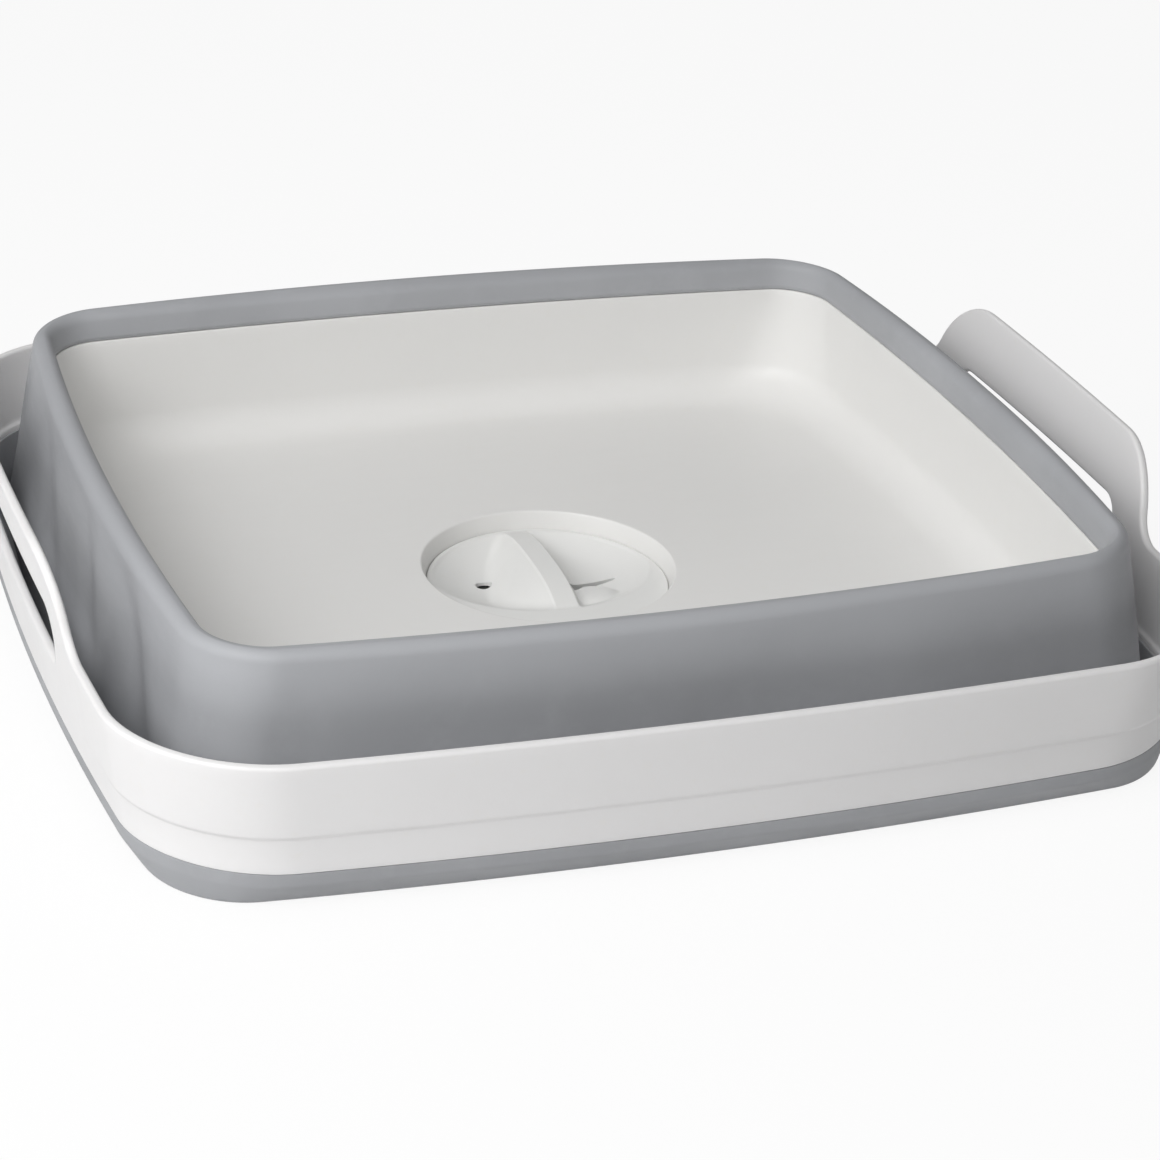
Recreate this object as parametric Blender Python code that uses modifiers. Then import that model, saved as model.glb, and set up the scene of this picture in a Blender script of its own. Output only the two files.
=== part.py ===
"""Collapsible camp washbasin, folded flat.

A stiff rim frame with two handles carries a soft wall. The wall hangs down to a bottom fold,
rises inside the rim to a top fold and drops a little to the edge of a stiff tray. Pushed down,
the tray turns the wall inside out and the basin stands open on the tray's feet. A twist plug
closes the drain in the middle of the tray.

Metres, +Z up. The origin is on the surface that the folded basin stands on, under its middle.
X runs through the two handles.
"""
import math

import bmesh
import bpy
from mathutils import Matrix, Vector

MM = 0.001

# Overall sizes of the rim, over its top edge
RIM_LENGTH = 370.0 * MM
RIM_WIDTH = 341.0 * MM
RIM_CORNER_R = 47.0 * MM
SIDE_BOW = 7.0 * MM            # how far a corner is drawn in by the bow of its two sides
RIDGE_BOW = 10.0 * MM          # the same at the top fold and the tray

# Fits
GAP = 0.3 * MM                 # between pieces that touch
OVERRUN = 5.0 * MM             # how far a cutter runs past what it cuts

# Rim frame
RIM_BOTTOM_Z = 12.4 * MM       # the soft band shows below this
RIM_HEIGHT = 38.8 * MM
RIM_LEAN = 4.2 * MM            # the top edge stands out past the bottom edge by this
RIM_WALL = 3.0 * MM
RIM_EDGE_R = 1.1 * MM
STEP_RISE = 13.1 * MM          # height of the step line above the bottom edge
STEP_DEPTH = 0.6 * MM
STEP_CHAMFER = 0.9 * MM
HANDLE_ROOT_DROP = 5.0 * MM    # the handle's flare starts this far under the rim's top edge

# Handles, one on each X side
HANDLE_RISE = 25.0 * MM
HANDLE_FLARE = 5.5 * MM        # the grip's top edge stands out past the rim's by this
FLARE_SHAPE = 1.6              # power of the flare's curve: 1 is a straight lean
HANDLE_FLAT = 107.0 * MM
SHOULDER_R = 30.0 * MM
FOOT_R = 14.0 * MM
SLOT_LENGTH = 130.0 * MM
SLOT_HEIGHT = 20.0 * MM
SLOT_CORNER_R = 8.5 * MM
GRIP_HEIGHT = 21.0 * MM

HANDLE_ROW_SHARES = (0.4, 0.72, 1.0)

# Soft wall
WALL_T = 2.4 * MM
BAND_LIP = 12.0 * MM           # height of the lip bonded to the inside of the rim
BAND_LIP_T = 2.2 * MM
BAND_BREAK_Z = 8.3 * MM        # the band turns inwards below this
FOLD_CORNER_R = 26.0 * MM
FOLD_INSET = 11.0 * MM         # outer edge of the bottom fold, in from the rim's top edge
FOLD_WIDTH = 6.2 * MM
FOLD_R = 0.6 * MM
FOLD_H = 2.8 * MM
RIDGE_Z = 75.0 * MM
RIDGE_INSET = 26.0 * MM
RIDGE_R = 3.6 * MM
RIDGE_CORNER_R = 24.0 * MM
INNER_DROP = 10.0 * MM         # from the ridge down to the visible edge of the tray
TRAY_INSET = 35.0 * MM
TRAY_CORNER_R = 17.0 * MM
INNER_LIP = 11.0 * MM
INNER_LIP_T = 2.0 * MM

# Tray
TRAY_DEPTH = 42.0 * MM         # from the visible edge to the floor
TRAY_WALL = 2.6 * MM
TRAY_EDGE_DROP = 1.8 * MM      # the stiff edge lies this far under the soft one
TRAY_DRAFT = 3.0 * MM
FLOOR_FILLET = 13.0 * MM
FLOOR_FALL = 0.6 * MM          # the floor falls this much towards the drain
FOOT_RING_INSET = 62.0 * MM
FOOT_RING_CORNER_R = 22.0 * MM
FOOT_RING_T = 3.0 * MM
FOOT_RING_H = 16.0 * MM
FALL_AT_RING_SHARE = 0.2       # share of the floor's fall reached over the foot ring
RIB_COUNT = 8
RIB_T = 2.0 * MM
RIB_H = 5.0 * MM
RIB_END_GAP = 6.0 * MM         # between a rib's end and the foot ring

# Drain recess and seat
RECESS_R = 43.4 * MM
RECESS_TAPER = 1.7 * MM
RECESS_EDGE_R = 1.2 * MM
RECESS_DEPTH = 6.0 * MM
SHELF_DEPTH = 10.0 * MM
SHELF_WIDTH = 4.4 * MM
SEAT_DEPTH = 14.2 * MM
PORT_R = 21.0 * MM
PORT_WIDTH = 4.6 * MM
PORT_SPAN = math.radians(36.0)
PORT_ANGLE = math.radians(-20.0)

# Drain plug
FLANGE_T = 1.9 * MM
PLUG_SIDE_GAP = 0.6 * MM
BAR_WIDTH = 7.4 * MM
BAR_RISE = 4.6 * MM
BAR_MARGIN = 0.5 * MM          # what the scoops trim off each flank of the bar's block
SCOOP_RIM = 1.9 * MM           # plain rim left between the scoops and the flange's edge
SCOOP_FLOOR_T = 2.2 * MM
SCOOP_DRAFT = 0.7 * MM
SCOOP_SHAPE = 1.5              # power of the scoop's section: 1 is a cone, 2 a dish
SCOOP_SHARES = (1.0, 0.94, 0.85, 0.73, 0.58, 0.42, 0.24)
STEM_R = 5.0 * MM
STEM_LIP = 0.5 * MM
CLIP_T = 1.4 * MM
CLIP_WIDTH = 3.8 * MM

# Foot shoes
SHOE_SOLE = 1.7 * MM
SHOE_WALL = 2.4 * MM
SHOE_H = 7.0 * MM

# Facets
CORNER_STEPS = 6
SIDE_STEPS = 5
ROUND_STEPS = 36
ARC_STEPS = 4

# Levels and sizes that follow
RIM_TOP_Z = RIM_BOTTOM_Z + RIM_HEIGHT
STEP_Z = RIM_BOTTOM_Z + STEP_RISE
HANDLE_TOP_Z = RIM_TOP_Z + HANDLE_RISE
SLOT_TOP_Z = HANDLE_TOP_Z - GRIP_HEIGHT
TRAY_EDGE_Z = RIDGE_Z - INNER_DROP
FLOOR_Z = TRAY_EDGE_Z - TRAY_DEPTH
DRAIN_Z = FLOOR_Z - FLOOR_FALL
RECESS_Z = DRAIN_Z - RECESS_DEPTH
SHELF_Z = DRAIN_Z - SHELF_DEPTH
SEAT_Z = DRAIN_Z - SEAT_DEPTH
SEAT_BOTTOM_Z = SEAT_Z - TRAY_WALL
RECESS_FOOT_R = RECESS_R - RECESS_TAPER
CUP_R = RECESS_FOOT_R - SHELF_WIDTH
PLUG_R = RECESS_FOOT_R - PLUG_SIDE_GAP
PLUG_TOP_Z = RECESS_Z
PLUG_BOTTOM_Z = SEAT_Z + GAP
FOOT_RING_TOP_Z = FLOOR_Z - TRAY_WALL - GAP - FLOOR_FALL * FALL_AT_RING_SHARE
FOOT_RING_Z = FOOT_RING_TOP_Z - FOOT_RING_H

WHITE = (0.80, 0.80, 0.78)
GREY = (0.30, 0.31, 0.32)


# Scene and materials

def clear_scene():
    for item in list(bpy.data.objects):
        bpy.data.objects.remove(item, do_unlink=True)


def new_collection(name):
    group = bpy.data.collections.new(name)
    bpy.context.scene.collection.children.link(group)
    return group


def plain_material(name, colour, roughness):
    material = bpy.data.materials.new(name)
    material.use_nodes = True
    shader = material.node_tree.nodes["Principled BSDF"]
    shader.inputs["Base Color"].default_value = (*colour, 1.0)
    shader.inputs["Roughness"].default_value = roughness
    shader.inputs["Metallic"].default_value = 0.0
    return material


def stiff_plastic(name):
    return plain_material(name, WHITE, 0.42)


def soft_rubber(name):
    return plain_material(name, GREY, 0.62)


# Mesh helpers

def mesh_object(name, bm, group, material=None, facing=True):
    if facing:
        bmesh.ops.recalc_face_normals(bm, faces=bm.faces)
    mesh = bpy.data.meshes.new(name)
    bm.to_mesh(mesh)
    bm.free()
    item = bpy.data.objects.new(name, mesh)
    group.objects.link(item)
    if material:
        mesh.materials.append(material)
        mesh.shade_smooth()
        mesh.set_sharp_from_angle(angle=math.radians(35.0))
    return item


def loft(name, rings, group, material=None, closed=True, capped=False):
    """Skin rings of as many points. Closed joins the last to the first, capped fills both ends.

    An open skin keeps the facing that its rings give it: outwards where they climb the outside.
    """
    bm = bmesh.new()
    rows = [[bm.verts.new(point) for point in ring] for ring in rings]
    count = len(rows[0])
    pairs = list(zip(rows, rows[1:] + rows[:1])) if closed else list(zip(rows, rows[1:]))
    for low, high in pairs:
        for i in range(count):
            j = (i + 1) % count
            bm.faces.new((low[i], low[j], high[j], high[i]))
    if capped:
        bm.faces.new(rows[0])
        bm.faces.new(rows[-1])
    return mesh_object(name, bm, group, material, facing=closed or capped)


def strip_loft(name, sections, group, material=None):
    """Skin closed sections that follow an open path, with both ends capped."""
    return loft(name, sections, group, material, closed=False, capped=True)


def extruded(name, outline, direction, group):
    """A prism from a closed outline of points, extruded along a vector."""
    bm = bmesh.new()
    face = bm.faces.new([bm.verts.new(point) for point in outline])
    side = bmesh.ops.extrude_face_region(bm, geom=[face])
    moved = [part for part in side["geom"] if isinstance(part, bmesh.types.BMVert)]
    bmesh.ops.translate(bm, verts=moved, vec=direction)
    return mesh_object(name, bm, group)


def turned(name, profile, group, material=None):
    """A closed profile of radius and height pairs, turned round Z."""
    bm = bmesh.new()
    points = [bm.verts.new((radius, 0.0, height)) for radius, height in profile]
    for i, point in enumerate(points):
        bm.edges.new((point, points[(i + 1) % len(points)]))
    mesh = bpy.data.meshes.new(name)
    bm.to_mesh(mesh)
    bm.free()
    item = bpy.data.objects.new(name, mesh)
    group.objects.link(item)
    if material:
        mesh.materials.append(material)
    screw = item.modifiers.new("turn", "SCREW")
    screw.steps = ROUND_STEPS
    screw.render_steps = ROUND_STEPS
    screw.use_merge_vertices = True
    screw.merge_threshold = 0.01 * MM
    screw.use_normal_calculate = True
    return item


def as_cutter(item):
    item.hide_render = True
    item.display_type = "WIRE"
    return item


def boolean(item, other, operation):
    modifier = item.modifiers.new(other.name, "BOOLEAN")
    modifier.operation = operation
    modifier.object = other
    modifier.solver = "EXACT"
    return modifier


def rounded_edges(item, width, segments=2, angle=65.0):
    bevel = item.modifiers.new("edges", "BEVEL")
    bevel.width = width
    bevel.segments = segments
    bevel.limit_method = "ANGLE"
    bevel.angle_limit = math.radians(angle)
    return bevel


# Outlines

def side_places(half, steps):
    return [half * (2.0 * i / steps - 1.0) for i in range(1, steps)]


def bow_at(inset):
    """How far the corners are drawn in: more towards the middle, inside the bottom fold."""
    share = (inset - FOLD_INSET) / (RIDGE_INSET - FOLD_INSET)
    return SIDE_BOW + (RIDGE_BOW - SIDE_BOW) * min(max(share, 0.0), 1.0)


def bowed(x, y, inset):
    """Draw the corners in, so that each side bows outwards in its middle."""
    half_x, half_y = half_sizes(inset)
    pull = bow_at(inset)
    return (x * (1.0 - pull / half_x * (y / half_y) ** 2),
            y * (1.0 - pull / half_y * (x / half_x) ** 2))


def outline(inset, radius, x_side=None):
    """Rounded rectangle inside the rim's top edge, from the +X side's -Y end, as (x, y) pairs.

    x_side lists the places along the +X side in Y, for an outline that needs its own.
    """
    half_x, half_y = half_sizes(inset)
    along_y = x_side or side_places(half_y - radius, SIDE_STEPS)
    along_x = side_places(half_x - radius, SIDE_STEPS)
    sides = [[(half_x, place) for place in along_y],
             [(place, half_y) for place in reversed(along_x)],
             [(-half_x, place) for place in reversed(along_y)],
             [(place, -half_y) for place in along_x]]
    points = []
    for quarter, side in enumerate(sides):
        points += [bowed(x, y, inset) for x, y in side]
        points += corner(inset, radius, quarter)
    return points


def half_sizes(inset):
    return RIM_LENGTH / 2.0 - inset, RIM_WIDTH / 2.0 - inset


def corner(inset, radius, quarter):
    """One rounded corner of an outline, counted from the +X +Y one."""
    half_x, half_y = half_sizes(inset)
    centre_x = (half_x - radius) * (1.0 if quarter in (0, 3) else -1.0)
    centre_y = (half_y - radius) * (1.0 if quarter in (0, 1) else -1.0)
    turns = arc((centre_x, centre_y), radius, 90.0 * quarter, 90.0 * (quarter + 1), CORNER_STEPS)
    return [bowed(x, y, inset) for x, y in turns]


def ring(inset, radius, z):
    return [Vector((x, y, z)) for x, y in outline(inset, radius)]


def wall_rings(profile, radius_at):
    """Rings of a wall from its closed section, a list of (inset, z)."""
    return [ring(inset, radius_at(inset), z) for inset, z in profile]


def arc(centre, radius, start, end, steps=ARC_STEPS):
    """Points of an arc as pairs, in degrees."""
    points = []
    for i in range(steps + 1):
        angle = math.radians(start + (end - start) * i / steps)
        points.append((centre[0] + radius * math.cos(angle), centre[1] + radius * math.sin(angle)))
    return points


def rim_corner(inset):
    """Corner radius of the rim's faces and of what lies along them, at even distances."""
    return RIM_CORNER_R - inset


def wall_corner(inset):
    """Corner radius of the soft wall inside its bottom fold, and of the tray's edge."""
    stops = [(FOLD_INSET, FOLD_CORNER_R), (FOLD_INSET + FOLD_WIDTH, FOLD_CORNER_R - FOLD_WIDTH),
             (RIDGE_INSET, RIDGE_CORNER_R), (TRAY_INSET, TRAY_CORNER_R)]
    if inset <= stops[0][0]:
        return FOLD_CORNER_R
    for (low, first), (high, second) in zip(stops, stops[1:]):
        if inset <= high:
            return first + (second - first) * (inset - low) / (high - low)
    return TRAY_CORNER_R


# Rim frame

def handle_edge():
    """The handle's top edge from its middle to its foot, as (y, rise) pairs."""
    drop = HANDLE_RISE / (SHOULDER_R + FOOT_R)
    sweep = math.degrees(math.acos(1.0 - drop))
    flat = HANDLE_FLAT / 2.0
    run = (SHOULDER_R + FOOT_R) * math.sin(math.radians(sweep))
    shoulder = arc((flat, HANDLE_RISE - SHOULDER_R), SHOULDER_R, 90.0, 90.0 - sweep)
    foot = arc((flat + run, FOOT_R), FOOT_R, 270.0 - sweep, 270.0)
    return [(0.0, HANDLE_RISE), (flat / 2.0, HANDLE_RISE)] + shoulder + foot[1:]


def rim_outline(inset):
    places = [y for y, rise in handle_edge()]
    along = [-y for y in reversed(places)] + places[1:]
    return outline(inset, rim_corner(inset), along)


def handle_rise(y, edge):
    """Height of the top edge over the rim's at a place along an X side."""
    place = abs(y)
    for (low, first), (high, second) in zip(edge, edge[1:]):
        if place <= high:
            return first + (second - first) * (place - low) / (high - low)
    return 0.0


def rim_rows():
    """Rows of the rim's outer face, from its bottom edge to the handles' top edge."""
    slope = RIM_LEAN / RIM_HEIGHT
    edge = handle_edge()
    rows = []
    for z, sunk in ((RIM_BOTTOM_Z, STEP_DEPTH), (STEP_Z - STEP_CHAMFER / 2.0, STEP_DEPTH),
                    (STEP_Z + STEP_CHAMFER / 2.0, 0.0), (RIM_TOP_Z - HANDLE_ROOT_DROP, 0.0)):
        inset = (RIM_TOP_Z - z) * slope + sunk
        rows.append([Vector((x, y, z)) for x, y in rim_outline(inset)])
    root_z = RIM_TOP_Z - HANDLE_ROOT_DROP
    root = rim_outline(HANDLE_ROOT_DROP * slope)
    top = rim_outline(0.0)
    for share in HANDLE_ROW_SHARES:
        row = []
        for (root_x, root_y), (top_x, top_y) in zip(root, top):
            rise = handle_rise(top_y, edge)
            z = root_z + (HANDLE_ROOT_DROP + rise) * share
            climb = min((z - root_z) / HANDLE_ROOT_DROP, 1.0)
            flare = HANDLE_FLARE * (max(z - RIM_TOP_Z, 0.0) / HANDLE_RISE) ** FLARE_SHAPE
            x = root_x + (top_x - root_x) * climb
            y = root_y + (top_y - root_y) * climb
            row.append(Vector((x + math.copysign(flare, x), y, z)))
        rows.append(row)
    return rows


def slot_cutter(group):
    """A round-cornered bar along X that opens the finger slot of both handles."""
    middle = SLOT_LENGTH / 2.0 - SLOT_CORNER_R
    high_z = SLOT_TOP_Z - SLOT_CORNER_R
    low_z = SLOT_TOP_Z - SLOT_HEIGHT + SLOT_CORNER_R
    points = arc((middle, low_z), SLOT_CORNER_R, -90.0, 0.0)
    points += arc((middle, high_z), SLOT_CORNER_R, 0.0, 90.0)
    points += arc((-middle, high_z), SLOT_CORNER_R, 90.0, 180.0)
    points += arc((-middle, low_z), SLOT_CORNER_R, 180.0, 270.0)
    reach = RIM_LENGTH / 2.0 + HANDLE_FLARE + OVERRUN
    return as_cutter(extruded("handle_slots", [Vector((-reach, y, z)) for y, z in points],
                              Vector((2.0 * reach, 0.0, 0.0)), group))


def make_rim_frame(parts, cutters):
    rim = loft("rim_frame", rim_rows(), parts, stiff_plastic("rim_plastic"), closed=False)
    shell = rim.modifiers.new("wall", "SOLIDIFY")
    shell.thickness = RIM_WALL
    shell.offset = -1.0
    shell.use_even_offset = True
    boolean(rim, slot_cutter(cutters), "DIFFERENCE")
    rounded_edges(rim, RIM_EDGE_R)
    return rim


# Soft wall

def rim_inner_inset(z):
    """Inset of the rim's inner face at a height."""
    return (RIM_TOP_Z - z) * RIM_LEAN / RIM_HEIGHT + STEP_DEPTH + RIM_WALL


def make_outer_band(parts):
    """The zone bonded under and inside the rim, down to the bottom fold."""
    top_z = RIM_BOTTOM_Z - GAP
    outer = RIM_LEAN + STEP_DEPTH
    lip_foot = rim_inner_inset(RIM_BOTTOM_Z) + GAP
    lip_top_z = RIM_BOTTOM_Z + BAND_LIP
    lip_top = rim_inner_inset(lip_top_z) + GAP
    fold_end = FOLD_INSET + FOLD_WIDTH
    along_rim = [
        (lip_foot + BAND_LIP_T, BAND_BREAK_Z),
        (lip_foot + BAND_LIP_T, top_z),
        (lip_top + BAND_LIP_T / 2.0, lip_top_z),
        (lip_top, lip_top_z),
        (lip_foot, top_z),
        (outer, top_z),
        (outer, BAND_BREAK_Z),
    ]
    along_fold = [
        (FOLD_INSET - FOLD_R, FOLD_R),
        (FOLD_INSET, 0.0),
        (fold_end - FOLD_R, 0.0),
        (fold_end, FOLD_R),
        (fold_end, FOLD_H),
        (fold_end - WALL_T, FOLD_H),
        (FOLD_INSET + WALL_T / 2.0, FOLD_H),
    ]
    rings = wall_rings(along_rim, rim_corner) + wall_rings(along_fold, wall_corner)
    return loft("wall_outer_band", rings, parts, soft_rubber("outer_band_rubber"))


def ridge_centre():
    return (RIDGE_INSET + RIDGE_R, RIDGE_Z - RIDGE_R)


def make_panel(parts):
    """The zone between the two folds, which turns inside out when the basin opens."""
    foot_z = FOLD_H + GAP
    foot = FOLD_INSET + FOLD_WIDTH
    centre = ridge_centre()
    outer = arc(centre, RIDGE_R, 180.0, 90.0)
    inner = arc(centre, RIDGE_R - WALL_T, 90.0, 180.0)
    profile = [(foot - WALL_T, foot_z)] + outer + inner + [(foot, foot_z)]
    return loft("wall_panel", wall_rings(profile, wall_corner), parts,
                soft_rubber("panel_rubber"))


def tray_face_inset(z):
    """Inset of the tray's inner face at a height on its drafted wall."""
    return TRAY_INSET + TRAY_DRAFT * (TRAY_EDGE_Z - z) / TRAY_DEPTH


def make_inner_band(parts):
    """The zone from the top fold to the tray, lapped over the tray's edge."""
    centre = ridge_centre()
    start = centre[0] + GAP
    edge_z = TRAY_EDGE_Z - TRAY_EDGE_DROP + GAP
    lip_z = TRAY_EDGE_Z - INNER_LIP
    slope = math.degrees(math.atan2(INNER_DROP - RIDGE_R, TRAY_INSET - start))
    bend = arc((start, centre[1]), RIDGE_R, 90.0, slope)
    under = arc((start, centre[1]), RIDGE_R - WALL_T, slope, 90.0)
    lip_in = tray_face_inset(lip_z) - TRAY_WALL - GAP
    lip_up = tray_face_inset(edge_z) - TRAY_WALL - GAP
    profile = bend + [
        (TRAY_INSET, TRAY_EDGE_Z),
        (TRAY_INSET, edge_z),
        (lip_up, edge_z),
        (lip_in, lip_z),
        (lip_in - INNER_LIP_T, lip_z),
        (lip_up - INNER_LIP_T, edge_z),
    ] + under
    return loft("wall_inner_band", wall_rings(profile, wall_corner), parts,
                soft_rubber("inner_band_rubber"))


# Tray

def circle(radius, z, count):
    """An even circle whose points pair with an outline of as many points."""
    first = (SIDE_STEPS - 2) / 2.0
    turns = [2.0 * math.pi * (i - first) / count for i in range(count)]
    return [Vector((radius * math.cos(turn), radius * math.sin(turn), z)) for turn in turns]


def tray_rings():
    """Rings of the tray's upper face from its edge to the hole for the plug's stem."""
    edge_z = TRAY_EDGE_Z - TRAY_EDGE_DROP
    fillet_top_z = FLOOR_Z + FLOOR_FILLET
    wall_foot = tray_face_inset(fillet_top_z)
    fillet = arc((wall_foot + FLOOR_FILLET, fillet_top_z), FLOOR_FILLET, 180.0, 270.0)
    profile = [(tray_face_inset(edge_z), edge_z)] + fillet
    rings = []
    for inset, z in profile:
        depth_share = (TRAY_EDGE_Z - z) / TRAY_DEPTH
        rings.append(ring(inset, TRAY_CORNER_R + FLOOR_FILLET * depth_share, z))
    count = len(rings[-1])
    round_profile = [
        (RECESS_R + RECESS_EDGE_R, DRAIN_Z),
        (RECESS_R, DRAIN_Z - RECESS_EDGE_R),
        (RECESS_FOOT_R, RECESS_Z),
        (RECESS_FOOT_R, SHELF_Z),
        (CUP_R, SHELF_Z),
        (CUP_R, SEAT_Z),
        (STEM_R + GAP, SEAT_Z),
    ]
    rings += [circle(radius, z, count) for radius, z in round_profile]
    return rings


def make_foot_ring(parts):
    """The standing ring under the floor."""
    inner_inset = FOOT_RING_INSET + FOOT_RING_T
    inner_r = FOOT_RING_CORNER_R - FOOT_RING_T
    rings = [ring(FOOT_RING_INSET, FOOT_RING_CORNER_R, FOOT_RING_TOP_Z),
             ring(FOOT_RING_INSET, FOOT_RING_CORNER_R, FOOT_RING_Z),
             ring(inner_inset, inner_r, FOOT_RING_Z),
             ring(inner_inset, inner_r, FOOT_RING_TOP_Z)]
    return loft("foot_ring", rings, parts, stiff_plastic("ring_plastic"))


def rib(index, group):
    """One radial rib from the drain's boss towards the foot ring."""
    angle = 2.0 * math.pi * (index + 0.5) / RIB_COUNT
    half_x, half_y = half_sizes(FOOT_RING_INSET + FOOT_RING_T + RIB_END_GAP)
    reach = min(half_x / abs(math.cos(angle)), half_y / abs(math.sin(angle)))
    start = RECESS_R + TRAY_WALL / 2.0
    top_z = FLOOR_Z - TRAY_WALL / 2.0 - FLOOR_FALL
    bm = bmesh.new()
    bmesh.ops.create_cube(bm, size=1.0)
    bmesh.ops.scale(bm, vec=(reach - start, RIB_T, RIB_H), verts=bm.verts)
    bmesh.ops.translate(bm, vec=((reach + start) / 2.0, 0.0, top_z - RIB_H / 2.0), verts=bm.verts)
    bmesh.ops.rotate(bm, matrix=Matrix.Rotation(angle, 3, "Z"), verts=bm.verts)
    return as_cutter(mesh_object("rib_form_%d" % (index + 1), bm, group))


def port_cutter(name, angle, low_z, high_z, group):
    """A curved slot round the drain's axis."""
    inner = PORT_R - PORT_WIDTH / 2.0
    outer = PORT_R + PORT_WIDTH / 2.0
    start = math.degrees(angle - PORT_SPAN / 2.0)
    end = math.degrees(angle + PORT_SPAN / 2.0)
    end_centre = (PORT_R * math.cos(math.radians(end)), PORT_R * math.sin(math.radians(end)))
    start_centre = (PORT_R * math.cos(math.radians(start)), PORT_R * math.sin(math.radians(start)))
    points = arc((0.0, 0.0), outer, start, end)
    points += arc(end_centre, PORT_WIDTH / 2.0, end, end + 180.0)[1:-1]
    points += arc((0.0, 0.0), inner, end, start)
    points += arc(start_centre, PORT_WIDTH / 2.0, start + 180.0, start + 360.0)[1:-1]
    return as_cutter(extruded(name, [Vector((x, y, low_z)) for x, y in points],
                              Vector((0.0, 0.0, high_z - low_z)), group))


def make_tray(parts, cutters):
    tray = loft("base_tray", tray_rings(), parts, stiff_plastic("tray_plastic"), closed=False)
    shell = tray.modifiers.new("wall", "SOLIDIFY")
    shell.thickness = TRAY_WALL
    shell.offset = -1.0
    shell.use_even_offset = True
    for index in range(RIB_COUNT):
        boolean(tray, rib(index, cutters), "UNION")
    for index in range(2):
        angle = PORT_ANGLE + math.pi / 2.0 + math.pi * index
        boolean(tray, port_cutter("seat_port_%d" % (index + 1), angle, SEAT_BOTTOM_Z - OVERRUN,
                                  SEAT_Z + GAP, cutters), "DIFFERENCE")
    return tray


def make_shoe(index, parts):
    """A soft shoe of U section on one corner of the foot ring."""
    middle_r = FOOT_RING_CORNER_R - FOOT_RING_T / 2.0
    half = FOOT_RING_T / 2.0 + GAP
    sole_top_z = FOOT_RING_Z - GAP
    sole_z = sole_top_z - SHOE_SOLE
    top_z = sole_z + SHOE_H
    section = [(-half - SHOE_WALL, sole_z), (half + SHOE_WALL, sole_z), (half + SHOE_WALL, top_z),
               (half, top_z), (half, sole_top_z), (-half, sole_top_z), (-half, top_z),
               (-half - SHOE_WALL, top_z)]
    middle_inset = FOOT_RING_INSET + FOOT_RING_T / 2.0
    rows = [[Vector((x, y, z)) for x, y in corner(middle_inset - out, middle_r + out, index)]
            for out, z in section]
    sections = [list(points) for points in zip(*rows)]
    return strip_loft("foot_shoe_%d" % (index + 1), sections, parts,
                      soft_rubber("shoe_rubber_%d" % (index + 1)))


# Drain plug

def plug_profile():
    cup_side = CUP_R - PLUG_SIDE_GAP
    stem_foot_z = SEAT_BOTTOM_Z - 2.0 * GAP - CLIP_T - 2.0 * STEM_LIP
    return [
        (0.0, PLUG_TOP_Z),
        (PLUG_R - FLANGE_T / 2.0, PLUG_TOP_Z),
        (PLUG_R, PLUG_TOP_Z - FLANGE_T / 2.0),
        (PLUG_R, PLUG_TOP_Z - FLANGE_T),
        (cup_side, PLUG_TOP_Z - FLANGE_T),
        (cup_side, PLUG_BOTTOM_Z),
        (STEM_R, PLUG_BOTTOM_Z),
        (STEM_R, stem_foot_z + 2.0 * STEM_LIP),
        (STEM_R + STEM_LIP, stem_foot_z + STEM_LIP),
        (STEM_R, stem_foot_z),
        (0.0, stem_foot_z),
    ]


def bar_block(group):
    """The arched block that the scoops leave as the grip bar."""
    reach = PLUG_R - SCOOP_RIM / 2.0
    rise = BAR_RISE
    radius = (reach ** 2 + rise ** 2) / (2.0 * rise)
    half_angle = math.degrees(math.asin(reach / radius))
    centre = (0.0, PLUG_TOP_Z + rise - radius)
    points = arc(centre, radius, 90.0 - half_angle, 90.0 + half_angle, 2 * ARC_STEPS)
    base_z = PLUG_TOP_Z - FLANGE_T / 2.0
    points += [(-reach, base_z), (reach, base_z)]
    half = BAR_WIDTH / 2.0 + SCOOP_DRAFT + BAR_MARGIN
    outline_points = [Vector((-half, y, z)) for y, z in points]
    return as_cutter(extruded("bar_form", outline_points, Vector((2.0 * half, 0.0, 0.0)), group))


def scoop_reach(angle, centre_x, flank_x, rim_r):
    """Distance from the scoop's centre to its edge: the bar's flank or the round rim."""
    along = math.cos(angle)
    across = math.sin(angle)
    to_rim = -centre_x * along + math.sqrt(rim_r ** 2 - (centre_x * across) ** 2)
    if along >= 0.0:
        return to_rim
    return min(to_rim, (flank_x - centre_x) / along)


def scoop_form(name, side, group):
    """A bowl that starts as a half disc beside the bar and ends as a round hollow."""
    rim_r = PLUG_R - SCOOP_RIM
    flank_x = BAR_WIDTH / 2.0
    centre_x = (rim_r + flank_x) / 2.0
    floor_z = PLUG_BOTTOM_Z + SCOOP_FLOOR_T
    depth = PLUG_TOP_Z - floor_z
    mean_r = (rim_r - flank_x) / 2.0
    sections = []
    lift_z = PLUG_TOP_Z + BAR_RISE + OVERRUN
    levels = [(1.0, lift_z, 0.0)]
    for share in SCOOP_SHARES:
        fall = depth * (1.0 - share ** SCOOP_SHAPE)
        levels.append((share, PLUG_TOP_Z - fall, SCOOP_DRAFT))
    for share, z, draft in levels:
        row = []
        for i in range(ROUND_STEPS):
            angle = 2.0 * math.pi * (i + 0.5) / ROUND_STEPS
            edge = scoop_reach(angle, centre_x, flank_x + draft, rim_r - draft)
            reach = share * (edge * share + mean_r * (1.0 - share))
            row.append(Vector((side * (centre_x + reach * math.cos(angle)),
                               reach * math.sin(angle), z)))
        sections.append(row)
    return as_cutter(strip_loft(name, sections, group))


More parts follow.
